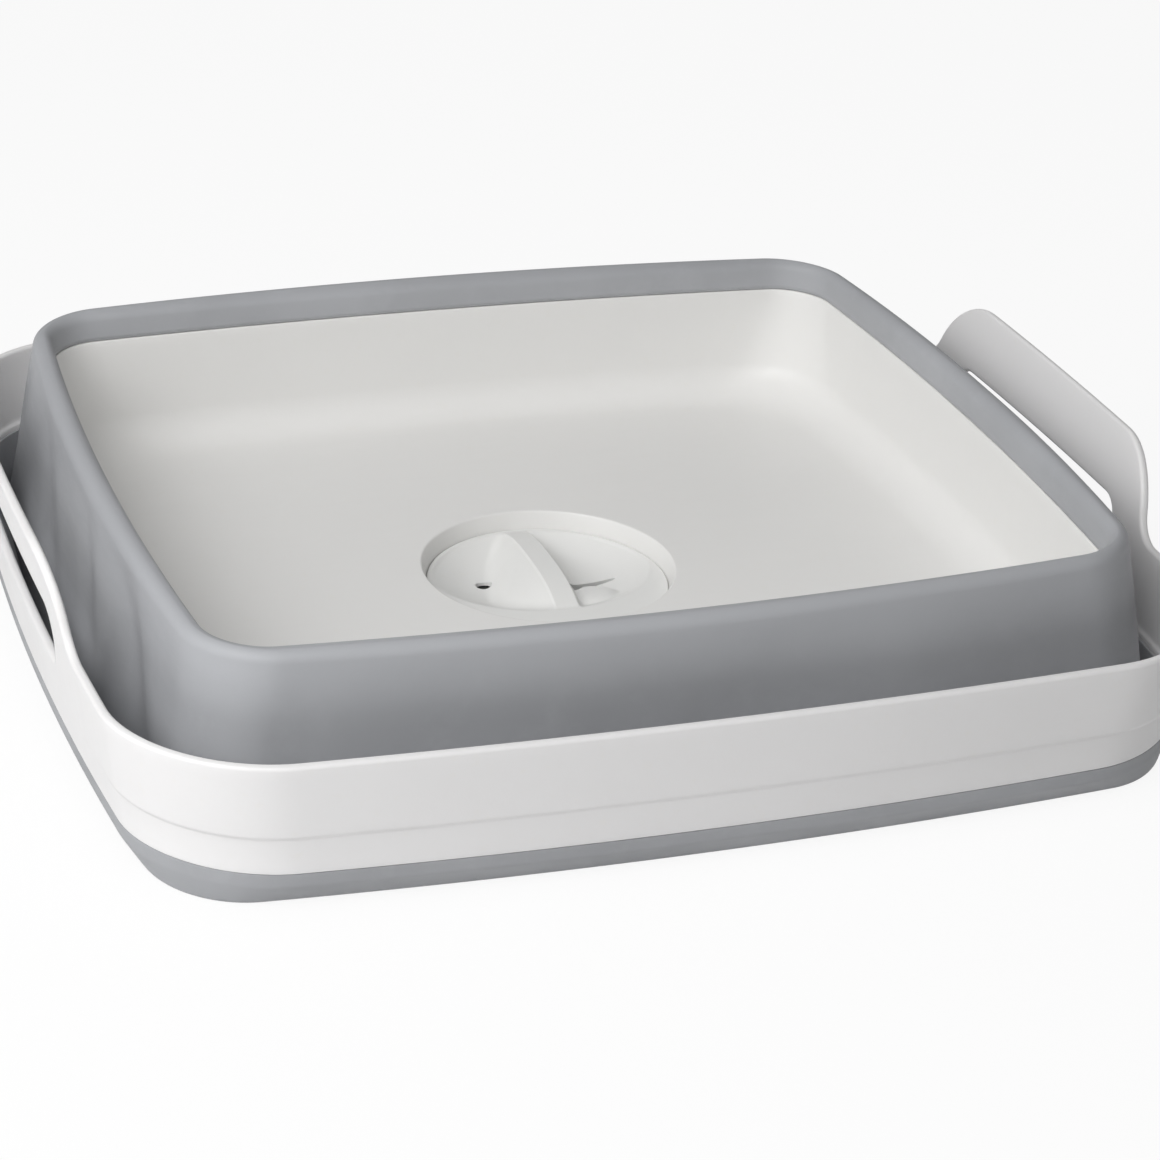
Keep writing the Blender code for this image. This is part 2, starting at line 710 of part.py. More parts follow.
def bar_core(name, side, group):
    """A pocket in the bar's underside, which keeps the moulding's wall even."""
    wall = SCOOP_FLOOR_T
    width = BAR_WIDTH - 2.0 * wall
    near = STEM_R + wall
    far = (PLUG_R - SCOOP_RIM) * 0.75
    top_z = PLUG_TOP_Z - wall
    bm = bmesh.new()
    bmesh.ops.create_cube(bm, size=1.0)
    low_z = PLUG_BOTTOM_Z - OVERRUN
    bmesh.ops.scale(bm, vec=(width, far - near, top_z - low_z), verts=bm.verts)
    bmesh.ops.translate(bm, vec=(0.0, side * (near + far) / 2.0, (top_z + low_z) / 2.0),
                        verts=bm.verts)
    return as_cutter(mesh_object(name, bm, group))


def make_plug(parts, cutters):
    plug = turned("drain_plug", plug_profile(), parts, stiff_plastic("plug_plastic"))
    boolean(plug, bar_block(cutters), "UNION")
    for name, side in (("right", 1.0), ("left", -1.0)):
        boolean(plug, scoop_form("scoop_" + name, side, cutters), "DIFFERENCE")
        boolean(plug, bar_core("bar_core_" + name, side, cutters), "DIFFERENCE")
    for index in range(2):
        boolean(plug, port_cutter("plug_port_%d" % (index + 1), PORT_ANGLE + math.pi * index,
                                  PLUG_BOTTOM_Z - OVERRUN, PLUG_TOP_Z + OVERRUN, cutters),
                "DIFFERENCE")
    return plug


def make_seal(parts):
    """The soft ring between the plug's flange and the shelf of the recess."""
    low_z = SHELF_Z + GAP
    high_z = PLUG_TOP_Z - FLANGE_T - GAP
    inner = CUP_R + GAP
    outer = RECESS_FOOT_R - GAP
    nip = (high_z - low_z) / 4.0
    profile = [(inner + nip, high_z), (outer - nip, high_z), (outer, high_z - nip),
               (outer, low_z + nip), (outer - nip, low_z), (inner + nip, low_z),
               (inner, low_z + nip), (inner, high_z - nip)]
    return turned("plug_seal", profile, parts, soft_rubber("seal_rubber"))


def make_clip(parts):
    """The ring under the seat that holds the plug's stem."""
    high_z = SEAT_BOTTOM_Z - GAP
    low_z = high_z - CLIP_T
    inner = STEM_R + GAP
    outer = inner + CLIP_WIDTH
    nip = CLIP_T / 4.0
    profile = [(inner, high_z), (outer - nip, high_z), (outer, high_z - nip),
               (outer, low_z), (inner, low_z)]
    return turned("stem_clip", profile, parts, stiff_plastic("clip_plastic"))


# Assembly

def joint_empty(name, z, group, parent=None):
    empty = bpy.data.objects.new(name, None)
    empty.location = (0.0, 0.0, z)
    group.objects.link(empty)
    empty.parent = parent
    return empty


def carry(empty, pieces, height):
    for piece in pieces:
        piece.parent = empty
        piece.location.z -= height


def build():
    clear_scene()
    parts = new_collection("collapsible_washbasin")
    cutters = new_collection("cutters")
    make_rim_frame(parts, cutters)
    make_outer_band(parts)
    make_panel(parts)
    fixed = [make_inner_band(parts), make_tray(parts, cutters), make_foot_ring(parts),
             make_seal(parts)]
    fixed += [make_shoe(index, parts) for index in range(4)]
    turning = [make_plug(parts, cutters), make_clip(parts)]
    slide = joint_empty("tray_slide", FLOOR_Z, parts)
    carry(slide, fixed, FLOOR_Z)
    pivot = joint_empty("plug_pivot", SEAT_Z - FLOOR_Z, parts, slide)
    carry(pivot, turning, SEAT_Z)
    bpy.context.view_layer.update()


build()
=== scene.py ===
import math

import bmesh
import bpy
import numpy as np
from mathutils import Matrix


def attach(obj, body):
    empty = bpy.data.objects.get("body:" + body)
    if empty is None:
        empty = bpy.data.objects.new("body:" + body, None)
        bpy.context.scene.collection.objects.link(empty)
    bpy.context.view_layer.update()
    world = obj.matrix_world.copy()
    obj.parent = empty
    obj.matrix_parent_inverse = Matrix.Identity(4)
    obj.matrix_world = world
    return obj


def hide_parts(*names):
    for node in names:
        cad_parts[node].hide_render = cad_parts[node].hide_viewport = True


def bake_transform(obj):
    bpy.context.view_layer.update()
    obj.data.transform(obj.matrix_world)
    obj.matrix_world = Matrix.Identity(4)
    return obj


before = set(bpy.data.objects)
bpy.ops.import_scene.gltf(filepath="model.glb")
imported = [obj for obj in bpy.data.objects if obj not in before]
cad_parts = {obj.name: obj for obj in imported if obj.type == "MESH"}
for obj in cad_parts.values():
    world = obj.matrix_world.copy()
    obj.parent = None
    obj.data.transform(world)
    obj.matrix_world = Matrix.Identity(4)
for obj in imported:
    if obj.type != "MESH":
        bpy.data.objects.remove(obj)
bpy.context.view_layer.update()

# Lengths and places are in millimetres; mesh_piece scales them to metres.
MM = 0.001

# Outlines. Each one is the rim's top edge, moved inwards by its inset.
HALF_X = 185.0
HALF_Y = 170.5
RIM_LEAN = 4.2  # inset of the rim's bottom edge
FOLD_INSET = 11.0  # outer side of the fold that the basin stands on
FOLD_WIDTH = 6.2
FOLD_END = FOLD_INSET + FOLD_WIDTH
RIDGE_INSET = 26.0  # outer side of the top fold
TRAY_INSET = 35.0  # edge of the tray
RIM_CORNER_R = 47.0
FOLD_CORNER_R = 26.0
RIDGE_CORNER_R = 24.0
TRAY_CORNER_R = 17.0

# Rows of an inset and a length, read between the rows. The real basin isn't quite even, so the
# first two differ from the CAD source by a few millimetres.
CORNER_PULL = ((0.0, 6.8), (RIM_LEAN, 9.0), (FOLD_INSET, 8.0), (RIDGE_INSET, 9.5), (30.0, 8.7),
               (TRAY_INSET, 6.0), (50.0, 8.0), (58.0, 10.0))
SIDE_SPREAD = ((FOLD_INSET, -1.6), (RIDGE_INSET, 2.2), (38.0, 2.2), (50.0, 0.0))
WALL_CORNER = ((FOLD_INSET, FOLD_CORNER_R), (FOLD_END, FOLD_CORNER_R - FOLD_WIDTH),
               (RIDGE_INSET, RIDGE_CORNER_R), (TRAY_INSET, TRAY_CORNER_R))

# Columns of points round an outline, and the signs of x and y at its corners
CORNERS = ((1.0, 1.0), (-1.0, 1.0), (-1.0, -1.0), (1.0, -1.0))
X_SIDE_STEPS = 90
Y_SIDE_STEPS = 52
CORNER_STEPS = 20


def read_between(rows, inset):
    places, values = zip(*rows)
    return np.interp(inset, places, values)


def bowed(x, y, inset):
    """Draw the corners in, so that each side bows outwards in its middle."""
    half_x = HALF_X - inset
    half_y = HALF_Y - inset
    pull = read_between(CORNER_PULL, inset)
    return (x * (1.0 - pull / half_x * (y / half_y) ** 2),
            y * (1.0 - pull / half_y * (x / half_x) ** 2))


def make_columns(along_x_side, along_y_side, corner_steps):
    """Columns of an outline, counted from the +X side's -Y end: core shares and direction."""
    sides = ([(1.0, b, 1.0, 0.0) for b in along_x_side],
             [(a, 1.0, 0.0, 1.0) for a in reversed(along_y_side)],
             [(-1.0, b, -1.0, 0.0) for b in reversed(along_x_side)],
             [(a, -1.0, 0.0, -1.0) for a in along_y_side])
    rows = []
    for quarter, (side, corner) in enumerate(zip(sides, CORNERS)):
        rows += side
        for i in range(corner_steps + 1):
            angle = math.pi / 2.0 * (quarter + i / corner_steps)
            rows.append((*corner, math.cos(angle), math.sin(angle)))
    return np.array(rows)


def even_places(steps):
    return [2.0 * i / steps - 1.0 for i in range(1, steps)]


COLUMNS = make_columns(even_places(X_SIDE_STEPS), even_places(Y_SIDE_STEPS), CORNER_STEPS)


def ring(inset, radius, z, bulge=None):
    """One outline as an array of points. bulge moves each column outwards."""
    a, b, dx, dy = COLUMNS.T
    x = a * (HALF_X - inset - radius + read_between(SIDE_SPREAD, inset)) + dx * radius
    y = b * (HALF_Y - inset - radius) + dy * radius
    x, y = bowed(x, y, inset)
    if bulge is not None:
        x = x + dx * bulge
        y = y + dy * bulge
    return np.stack([x, y, np.full(len(x), float(z))], 1)


# Meshes

ROUND_STEPS = 144  # columns of a turned form
FILLET_SHARE = 0.48  # the most of a section's side that one fillet takes


def volume_sign(points, faces):
    """Above zero where the faces look outwards."""
    total = 0.0
    by_size = {}
    for face in faces:
        by_size.setdefault(len(face), []).append(face)
    for size, group in by_size.items():
        corners = points[np.array(group)]
        for i in range(1, size - 1):
            cross = np.cross(corners[:, i], corners[:, i + 1])
            total += float(np.einsum("ij,ij->", corners[:, 0], cross))
    return total


def mesh_piece(name, points, faces):
    """A smooth mesh from points in millimetres, with its faces turned outwards."""
    points = np.asarray(points, float)
    if volume_sign(points, faces) < 0.0:
        faces = [tuple(reversed(face)) for face in faces]
    mesh = bpy.data.meshes.new(name)
    mesh.from_pydata((points * MM).tolist(), [], [tuple(face) for face in faces])
    mesh.validate()
    mesh.shade_smooth()
    item = bpy.data.objects.new(name, mesh)
    bpy.context.scene.collection.objects.link(item)
    return item


def sharpen(item, degrees):
    """Show the edges that turn by more than this as edges."""
    item.data.shade_smooth()
    item.data.set_sharp_from_angle(angle=math.radians(degrees))


def grid_faces(rows, count, closed):
    """Faces between rows of count points, each row a closed ring."""
    faces = []
    for r in range(rows if closed else rows - 1):
        low = r * count
        high = (r + 1) % rows * count
        for i in range(count):
            j = (i + 1) % count
            faces.append((low + i, low + j, high + j, high + i))
    return faces


def tube_faces(rows, count):
    """Faces between rows of a closed section, and its two ends."""
    last = (rows - 1) * count
    ends = [tuple(reversed(range(count))), tuple(range(last, last + count))]
    return grid_faces(rows, count, closed=False) + ends


def loft(name, rings):
    """A closed band: the last ring joins the first."""
    count = len(rings[0])
    return mesh_piece(name, np.concatenate(rings), grid_faces(len(rings), count, closed=True))


def turned(name, profile, steps=ROUND_STEPS):
    """A closed profile of (radius, z) turned round Z."""
    turns = np.linspace(0.0, 2.0 * math.pi, steps, endpoint=False)
    return loft(name, [np.stack([r * np.cos(turns), r * np.sin(turns), np.full(steps, float(z))], 1)
                       for r, z in profile])


def rounded(points, closed=True, steps=6):
    """Fillet a section. Each point ends with its fillet radius; what comes before is kept."""
    data = [np.array(point[:-1], float) for point in points]
    out = []
    for i, here in enumerate(data):
        fillet = points[i][-1]
        if fillet <= 0.0 or (not closed and i in (0, len(data) - 1)):
            out.append(here)
            continue
        back = data[i - 1] - here
        ahead = data[(i + 1) % len(data)] - here
        back_length = math.hypot(back[0], back[1])
        ahead_length = math.hypot(ahead[0], ahead[1])
        cosine = float(np.dot(back[:2], ahead[:2])) / (back_length * ahead_length)
        half = math.acos(max(-1.0, min(1.0, cosine))) / 2.0
        cut = min(fillet / math.tan(half), FILLET_SHARE * back_length, FILLET_SHARE * ahead_length)
        start = here + back * cut / back_length
        end = here + ahead * cut / ahead_length
        for s in np.linspace(0.0, 1.0, steps + 1):
            out.append(start * (1.0 - s) ** 2 + here * 2.0 * s * (1.0 - s) + end * s * s)
    return out


def dense(section, step):
    """Split the long stretches of a closed section."""
    out = []
    for i, here in enumerate(section):
        after = section[(i + 1) % len(section)]
        parts = int(np.hypot(*(after - here)[:2]) / step)
        out += [here + (after - here) * k / (parts + 1) for k in range(parts + 1)]
    return out


def smoothstep(value):
    value = np.clip(value, 0.0, 1.0)
    return value * value * (3.0 - 2.0 * value)


def cut_away(item, cutters):
    """Take the cutters out of a piece, and remove them."""
    for cutter in cutters:
        modifier = item.modifiers.new(cutter.name, "BOOLEAN")
        modifier.operation = "DIFFERENCE"
        modifier.object = cutter
        modifier.solver = "EXACT"
    graph = bpy.context.evaluated_depsgraph_get()
    mesh = bpy.data.meshes.new_from_object(item.evaluated_get(graph))
    item.modifiers.clear()
    item.data = mesh
    for cutter in cutters:
        bpy.data.objects.remove(cutter, do_unlink=True)


# Materials

WHITE = (0.80, 0.793, 0.793)
TRAY_WHITE = (0.80, 0.795, 0.78)
PLUG_WHITE = (0.80, 0.80, 0.785)
GREY = (0.335, 0.342, 0.358)
RIDGE_PAINTED_LIGHT = 1.17  # painted light: how much paler the wall is on its top fold and on the inner band
RIDGE_PAINTED_LIGHT_BETWEEN = (0.048, 0.0735)  # metres: the wall grows paler between these heights, painted light on its top fold
PLASTIC_IOR = 1.49
RUBBER_IOR = 1.5
SCATTER = (1.0, 0.7, 1.3)  # an offset moves a noise this much along each axis


class Graph:
    """A small helper round a material's nodes."""

    def __init__(self, name):
        self.material = bpy.data.materials.new(name)
        self.material.use_nodes = True
        self.tree = self.material.node_tree
        self.shader = self.tree.nodes["Principled BSDF"]
        self.place = self.node("ShaderNodeTexCoord").outputs["Object"]

    def node(self, kind, **settings):
        made = self.tree.nodes.new(kind)
        for key, value in settings.items():
            setattr(made, key, value)
        return made

    def link(self, source, target):
        self.tree.links.new(source, target)

    def feed(self, source, target):
        """Link a socket, or set a number or a colour."""
        if isinstance(source, (int, float)):
            target.default_value = source
        elif isinstance(source, tuple):
            target.default_value = (*source, 1.0)
        else:
            self.link(source, target)

    def noise(self, scale, detail=3.0, rough=0.5, stretch=None, offset=0.0):
        source = self.place
        if stretch or offset:
            mapping = self.node("ShaderNodeMapping")
            mapping.inputs["Scale"].default_value = stretch or (1.0, 1.0, 1.0)
            mapping.inputs["Location"].default_value = tuple(offset * share for share in SCATTER)
            self.link(source, mapping.inputs["Vector"])
            source = mapping.outputs["Vector"]
        made = self.node("ShaderNodeTexNoise")
        made.inputs["Scale"].default_value = scale
        made.inputs["Detail"].default_value = detail
        made.inputs["Roughness"].default_value = rough
        self.link(source, made.inputs["Vector"])
        return made.outputs["Fac"]

    def ramp(self, source, stops):
        made = self.node("ShaderNodeValToRGB")
        element = made.color_ramp.elements
        while len(element) < len(stops):
            element.new(0.5)
        for slot, (at, colour) in zip(element, stops):
            slot.position = at
            slot.color = (*colour, 1.0)
        self.link(source, made.inputs["Fac"])
        return made.outputs["Color"]

    def span(self, source, between, to):
        """Turn the range between two values into another range."""
        made = self.node("ShaderNodeMapRange")
        for key, value in zip(("From Min", "From Max", "To Min", "To Max"), (*between, *to)):
            made.inputs[key].default_value = value
        self.link(source, made.inputs["Value"])
        return made.outputs["Result"]

    def mix(self, share, first, second):
        made = self.node("ShaderNodeMix", data_type="RGBA")
        for index, value in ((0, share), (6, first), (7, second)):
            self.feed(value, made.inputs[index])
        return made.outputs[2]

    def math(self, operation, first, second):
        made = self.node("ShaderNodeMath", operation=operation)
        self.feed(first, made.inputs[0])
        self.feed(second, made.inputs[1])
        return made.outputs[0]

    def bump(self, height, strength, distance, normal=None):
        """distance is in metres."""
        made = self.node("ShaderNodeBump")
        made.inputs["Strength"].default_value = strength
        made.inputs["Distance"].default_value = distance
        self.link(height, made.inputs["Height"])
        if normal is not None:
            self.link(normal, made.inputs["Normal"])
        return made.outputs["Normal"]


def tinted(colour, share, added=0.0):
    return tuple(min(c * share + added, 1.0) for c in colour)


def moulded_plastic(name, colour, rough, grain=0.35):
    """White moulded plastic: fine spark texture, slow flow in the tone, faint rubbed streaks."""
    g = Graph(name)
    flow = g.noise(scale=9.0, detail=2.0)
    base = g.ramp(flow, ((0.35, tinted(colour, 0.985)), (0.65, colour)))
    fleck = g.noise(scale=260.0, detail=2.0, offset=0.3)
    warm = (colour[0] * 0.985, colour[1] * 0.975, colour[2] * 0.94)
    base = g.mix(g.span(fleck, between=(0.62, 0.8), to=(0.0, 0.35)), base, warm)
    g.link(base, g.shader.inputs["Base Color"])
    streak = g.noise(scale=34.0, detail=5.0, rough=0.65, stretch=(1.0, 7.0, 1.0), offset=0.9)
    rub = g.span(streak, between=(0.45, 0.7), to=(rough - 0.04, rough + 0.08))
    patch = g.noise(scale=48.0, offset=1.7)
    tone = g.span(patch, between=(0.35, 0.65), to=(-0.025, 0.025))
    g.link(g.math("ADD", rub, tone), g.shader.inputs["Roughness"])
    normal = g.bump(g.noise(scale=1500.0, detail=2.0, rough=0.6), grain, 0.00006)
    normal = g.bump(g.noise(scale=55.0, detail=2.0, offset=2.0), 0.12, 0.0006, normal)
    g.link(normal, g.shader.inputs["Normal"])
    g.shader.inputs["IOR"].default_value = PLASTIC_IOR
    return g.material


def soft_rubber(name, colour, rough=0.58, painted_light_between=None):
    """Grey elastomer: fine matt skin, slow flow in the tone, a dusty bloom and light scuffs."""
    g = Graph(name)
    flow = g.noise(scale=14.0, rough=0.55)
    base = g.ramp(flow, ((0.3, tinted(colour, 0.93)), (0.5, colour),
                         (0.7, tinted(colour, 1.06, 0.004))))
    bloom = g.noise(scale=70.0, detail=5.0, rough=0.65, offset=0.5)
    dusty = g.span(bloom, between=(0.52, 0.8), to=(0.0, 0.5))
    base = g.mix(dusty, base, tinted(colour, 1.12, 0.012))
    # Painted light: the tone grows paler up to the top fold, into the inner band's paler painted tone.
    if painted_light_between:
        parts = g.node("ShaderNodeSeparateXYZ")
        g.link(g.place, parts.inputs["Vector"])
        pale = g.span(parts.outputs["Z"], between=painted_light_between, to=(0.0, 1.0))
        base = g.mix(pale, base, tinted(colour, RIDGE_PAINTED_LIGHT))
    g.link(base, g.shader.inputs["Base Color"])
    scuff = g.noise(scale=40.0, detail=6.0, rough=0.7, stretch=(1.0, 1.0, 5.0), offset=1.1)
    worn = g.span(scuff, between=(0.4, 0.7), to=(rough - 0.06, rough + 0.1))
    g.link(worn, g.shader.inputs["Roughness"])
    normal = g.bump(g.noise(scale=1100.0, rough=0.6), 0.4, 0.00007)
    normal = g.bump(g.noise(scale=32.0, offset=0.2), 0.25, 0.0009, normal)
    g.link(normal, g.shader.inputs["Normal"])
    g.shader.inputs["IOR"].default_value = RUBBER_IOR
    return g.material


rim_white = moulded_plastic("rim_white", WHITE, 0.50)
tray_white = moulded_plastic("tray_white", TRAY_WHITE, 0.46)
plug_white = moulded_plastic("plug_white", PLUG_WHITE, 0.38, grain=0.2)
wall_grey = soft_rubber("wall_grey", GREY)
ridge_painted_light_grey = soft_rubber("ridge_painted_light_grey", GREY, painted_light_between=RIDGE_PAINTED_LIGHT_BETWEEN)
# Painted light: the inner band is the wall's own rubber, made paler for the light that falls on it.
inner_painted_light_grey = soft_rubber("inner_painted_light_grey", tinted(GREY, RIDGE_PAINTED_LIGHT))
seal_grey = soft_rubber("seal_grey", (0.22, 0.225, 0.24))
# Painted shade: a black sheet on the seat, seen through the plug's ports where the drain is only in
# shade.
shade_sheet_black = soft_rubber("shade_sheet_black", (0.07, 0.072, 0.066), 0.7)
shoe_grey = soft_rubber("shoe_grey", (0.20, 0.205, 0.22), 0.66)


def finish_piece(item, material, body, slot, *nodes):
    """Set a piece's material and body, and hide its CAD nodes. Without a body it is left unparented.
    slot is not used.
    """
    item.data.materials.clear()
    item.data.materials.append(material)
    if body:
        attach(item, body)
    if nodes:
        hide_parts(*nodes)


# Rim frame with its two handles

RIM_BOTTOM_Z = 12.4
RIM_HEIGHT = 38.8
RIM_TOP_Z = RIM_BOTTOM_Z + RIM_HEIGHT
RIM_NARROWER = 1.6  # the sides with the handles lie this far inside the outline
RIM_CORE_X = HALF_X - RIM_CORNER_R - RIM_NARROWER
RIM_CORE_Y = HALF_Y - RIM_CORNER_R
RIM_SLOPE = RIM_LEAN / RIM_HEIGHT
RIM_WALL = 3.0
RIM_EDGE_R = 1.25
RIM_FOOT_EDGE_R = 0.3
STEP_Z = 25.5  # the face is sunk below this height
STEP_DEPTH = 0.55
STEP_BLEND = 0.8
HANDLE_RISE = 26.8
HANDLE_FLARE = 5.5
FLARE_POWER = 1.75
HANDLE_FLAT = 55.5  # half the length of the grip's level stretch
SHOULDER_R = 30.0
FOOT_R = 12.0
SLOT_HALF = 65.0
SLOT_LOW_Z = 35.2
SLOT_HIGH_Z = 55.2
SLOT_R = 8.5
SLOT_MARGIN = 1.2  # plain land round the slot's rounded edge
FIELD_HALF = 78.0  # the mesh round a slot: its half length, foot and number of rows
FIELD_LOW_Z = 28.5
FIELD_ROWS = 10
RIM_Y_STEPS = 44
RIM_CORNER_STEPS = 24
LOW_ROWS_Z = (15.0, 18.0, 21.0, 24.0)
STEP_ROWS = (-STEP_BLEND, -0.5, -0.3, -0.1, 0.1, 0.3, 0.6, 1.5)
PROBE = 0.05  # step of the slope's measurement


def handle_half():
    """The handle's top edge from its middle to the side's end: y, rise and edge normal."""
    sweep = math.acos(1.0 - HANDLE_RISE / (SHOULDER_R + FOOT_R))
    foot_end = HANDLE_FLAT + (SHOULDER_R + FOOT_R) * math.sin(sweep)
    rows = [(y, HANDLE_RISE, 0.0, 1.0) for y in np.linspace(0.0, HANDLE_FLAT, 19)]
    for t in np.linspace(0.0, sweep, 17)[1:]:
        rows.append((HANDLE_FLAT + SHOULDER_R * math.sin(t),
                     HANDLE_RISE - SHOULDER_R * (1.0 - math.cos(t)), math.sin(t), math.cos(t)))
    for t in np.linspace(sweep, 0.0, 10)[1:]:
        rows.append((foot_end - FOOT_R * math.sin(t), FOOT_R * (1.0 - math.cos(t)),
                     math.sin(t), math.cos(t)))
    for y in np.linspace(foot_end, RIM_CORE_Y, 10)[1:-1]:
        rows.append((y, 0.0, 0.0, 1.0))
    return rows


def rim_surface(core_x, core_y, dx, dy, z, sunk):
    """Outer face of the rim, before its edges are rounded."""
    inset = np.maximum(RIM_TOP_Z - z, 0.0) * RIM_SLOPE + sunk
    radius = RIM_CORNER_R - inset
    x, y = bowed(core_x + dx * radius, core_y + dy * radius, inset)
    share = np.maximum((z - RIM_TOP_Z) / HANDLE_RISE, 0.0)
    lean = RIM_SLOPE * HANDLE_RISE * share * (1.0 - np.minimum(share, 1.0)) ** 2
    flare = lean + HANDLE_FLARE * share ** FLARE_POWER
    return np.stack([x + np.sign(core_x) * flare, y, z], 1)


def slot_point(side, share, grow):
    """A point of the slot's outline, grown by a margin. Sides: low, right, high, left.

    A side runs from the middle of one rounded corner to the middle of the next.
    """
    half_y = SLOT_HALF - SLOT_R
    half_z = (SLOT_HIGH_Z - SLOT_LOW_Z) / 2.0 - SLOT_R
    along, across = (half_y, half_z) if side in (0, 2) else (half_z, half_y)
    arc_length = SLOT_R * math.pi / 4.0
    past_arc = share * 2.0 * (along + arc_length) - arc_length
    level = min(max(past_arc, 0.0), 2.0 * along)
    angle = (past_arc - level) / SLOT_R
    u = level - along + (SLOT_R + grow) * math.sin(angle)
    v = -across - (SLOT_R + grow) * math.cos(angle)
    turn = math.pi / 2.0 * side
    y = u * math.cos(turn) - v * math.sin(turn)
    z = u * math.sin(turn) + v * math.cos(turn)
    return y, z + (SLOT_HIGH_Z + SLOT_LOW_Z) / 2.0


def edge_steps(radius, count):
    """Pairs of distance from an edge and half thickness, from the flat to the edge."""
    turns = [math.pi / 2.0 * i / count for i in range(count + 1)]
    return [(radius * (1.0 - math.sin(turn)), RIM_WALL / 2.0 - radius + radius * math.cos(turn))
            for turn in turns]


def rim_rows(core, edge):
    """Rows of places up the rim, and the first and last row of the slots' fields.

    A place is core x, y, the outline's direction, z and half the thickness there.
    """
    rise, normal_y, normal_z = edge.T
    core_y = core[:, 1]

    def row(y, z, half_wall):
        level = np.full(len(core), 1.0) * z
        return np.stack([core[:, 0], y, core[:, 2], core[:, 3], level, level * 0.0 + half_wall], 1)

    plain = RIM_WALL / 2.0
    rows = [row(core_y, RIM_BOTTOM_Z + d, h) for d, h in reversed(edge_steps(RIM_FOOT_EDGE_R, 4))]
    rows += [row(core_y, z, plain) for z in LOW_ROWS_Z]
    rows += [row(core_y, STEP_Z + above, plain) for above in STEP_ROWS]
    first = len(rows)
    top_y = core_y - RIM_EDGE_R * normal_y
    top_z = RIM_TOP_Z + rise - RIM_EDGE_R * normal_z
    for k in range(FIELD_ROWS):
        share = k / FIELD_ROWS
        rows.append(row(core_y + (top_y - core_y) * share,
                        FIELD_LOW_Z + (top_z - FIELD_LOW_Z) * share, plain))
    last = len(rows)
    rows += [row(core_y - d * normal_y, RIM_TOP_Z + rise - d * normal_z, h)
             for d, h in edge_steps(RIM_EDGE_R, 5)]
    return rows, first, last


def field_loop(low, high, first, last, count):
    """The vertices round a slot's field, and each one's side and share of that side."""
    loop = [first * count + i for i in range(low, high + 1)]
    loop += [r * count + high for r in range(first + 1, last + 1)]
    loop += [last * count + i for i in range(high - 1, low - 1, -1)]
    loop += [r * count + low for r in range(last - 1, first, -1)]
    width, tall = high - low, last - first
    sides = [(side, k / parts) for side, parts in enumerate((width, tall, width, tall))
             for k in range(parts)]
    return loop, sides


def add_slot(places, faces, loop, sides, sign):
    """Join the loop round a slot's field to the slot's rounded edge. Returns all the places."""
    outer = places[loop][:, [1, 4]]
    steps = [(s, RIM_EDGE_R + SLOT_MARGIN, RIM_WALL / 2.0) for s in (0.2, 0.4, 0.6, 0.8, 1.0)]
    steps += [(1.0, d, h) for d, h in edge_steps(RIM_EDGE_R, 5)]
    previous = loop
    for share_in, grow, half_wall in steps:
        hole = np.array([slot_point(side, share, grow) for side, share in sides]) * (sign, 1.0)
        added = np.tile((sign * RIM_CORE_X, 0.0, sign, 0.0, 0.0, half_wall), (len(loop), 1))
        added[:, [1, 4]] = outer + (hole - outer) * share_in
        current = list(range(len(places), len(places) + len(loop)))
        places = np.concatenate([places, added])
        for k in range(len(loop)):
            m = (k + 1) % len(loop)
            faces.append((previous[k], previous[m], current[m], current[k]))
        previous = current
    return places


def thicken(places, faces):
    """The points and faces of a closed shell, from places on the rim and the faces between."""
    core_x, core_y, dx, dy, z, half_wall = places.T
    sunk = STEP_DEPTH * (1.0 - smoothstep((z - STEP_Z + STEP_BLEND) / (2.0 * STEP_BLEND)))

    def outer_face(turn, lift):
        return rim_surface(core_x - dy * turn, core_y + dx * turn, dx, dy, z + lift, sunk)

    along = outer_face(PROBE, 0.0) - outer_face(-PROBE, 0.0)
    upwards = outer_face(0.0, PROBE) - outer_face(0.0, -PROBE)
    normal = np.cross(along, upwards)
    normal /= np.linalg.norm(normal, axis=1)[:, None]
    middle = outer_face(0.0, 0.0) - normal * RIM_WALL / 2.0
    offset = normal * half_wall[:, None]
    count = len(places)
    edges = [(a, b) for face in faces for a, b in zip(face, face[1:] + face[:1])]
    known = set(edges)
    inner = [tuple(v + count for v in reversed(face)) for face in faces]
    closing = [(b, a, a + count, b + count) for a, b in edges if (b, a) not in known]
    return np.concatenate([middle + offset, middle - offset]), faces + inner + closing


def make_rim():
    half = handle_half()
    x_side = np.array([(-y, rise, -ny, nz) for y, rise, ny, nz in reversed(half)] + half[1:])
    y_side = even_places(RIM_Y_STEPS)
    columns = make_columns(list(x_side[:, 0] / RIM_CORE_Y), y_side, RIM_CORNER_STEPS)
    count = len(columns)
    side_count = len(x_side)
    start = side_count + len(y_side) + 2 * (RIM_CORNER_STEPS + 1)
    edge = np.tile((0.0, 0.0, 1.0), (count, 1))
    edge[:side_count] = x_side[:, 1:]
    edge[start:start + side_count] = x_side[::-1, 1:]
    rows, first, last = rim_rows(columns * (RIM_CORE_X, RIM_CORE_Y, 1.0, 1.0), edge)

    reach = [i for i, y in enumerate(x_side[:, 0]) if abs(y) <= FIELD_HALF]
    mirror = start + side_count - 1
    fields = ((reach[0], reach[-1], 1.0), (mirror - reach[-1], mirror - reach[0], -1.0))
    faces = []
    for face in grid_faces(len(rows), count, closed=False):
        r, i = divmod(face[0], count)
        if not (first <= r < last and any(low <= i < high for low, high, sign in fields)):
            faces.append(face)
    places = np.concatenate(rows)
    for low, high, sign in fields:
        loop, sides = field_loop(low, high, first, last, count)
        places = add_slot(places, faces, loop, sides, sign)
    rim = mesh_piece("rim_shell", *thicken(places, faces))
    finish_piece(rim, rim_white, "rim", "rim_plastic", "rim_frame")


# Soft wall

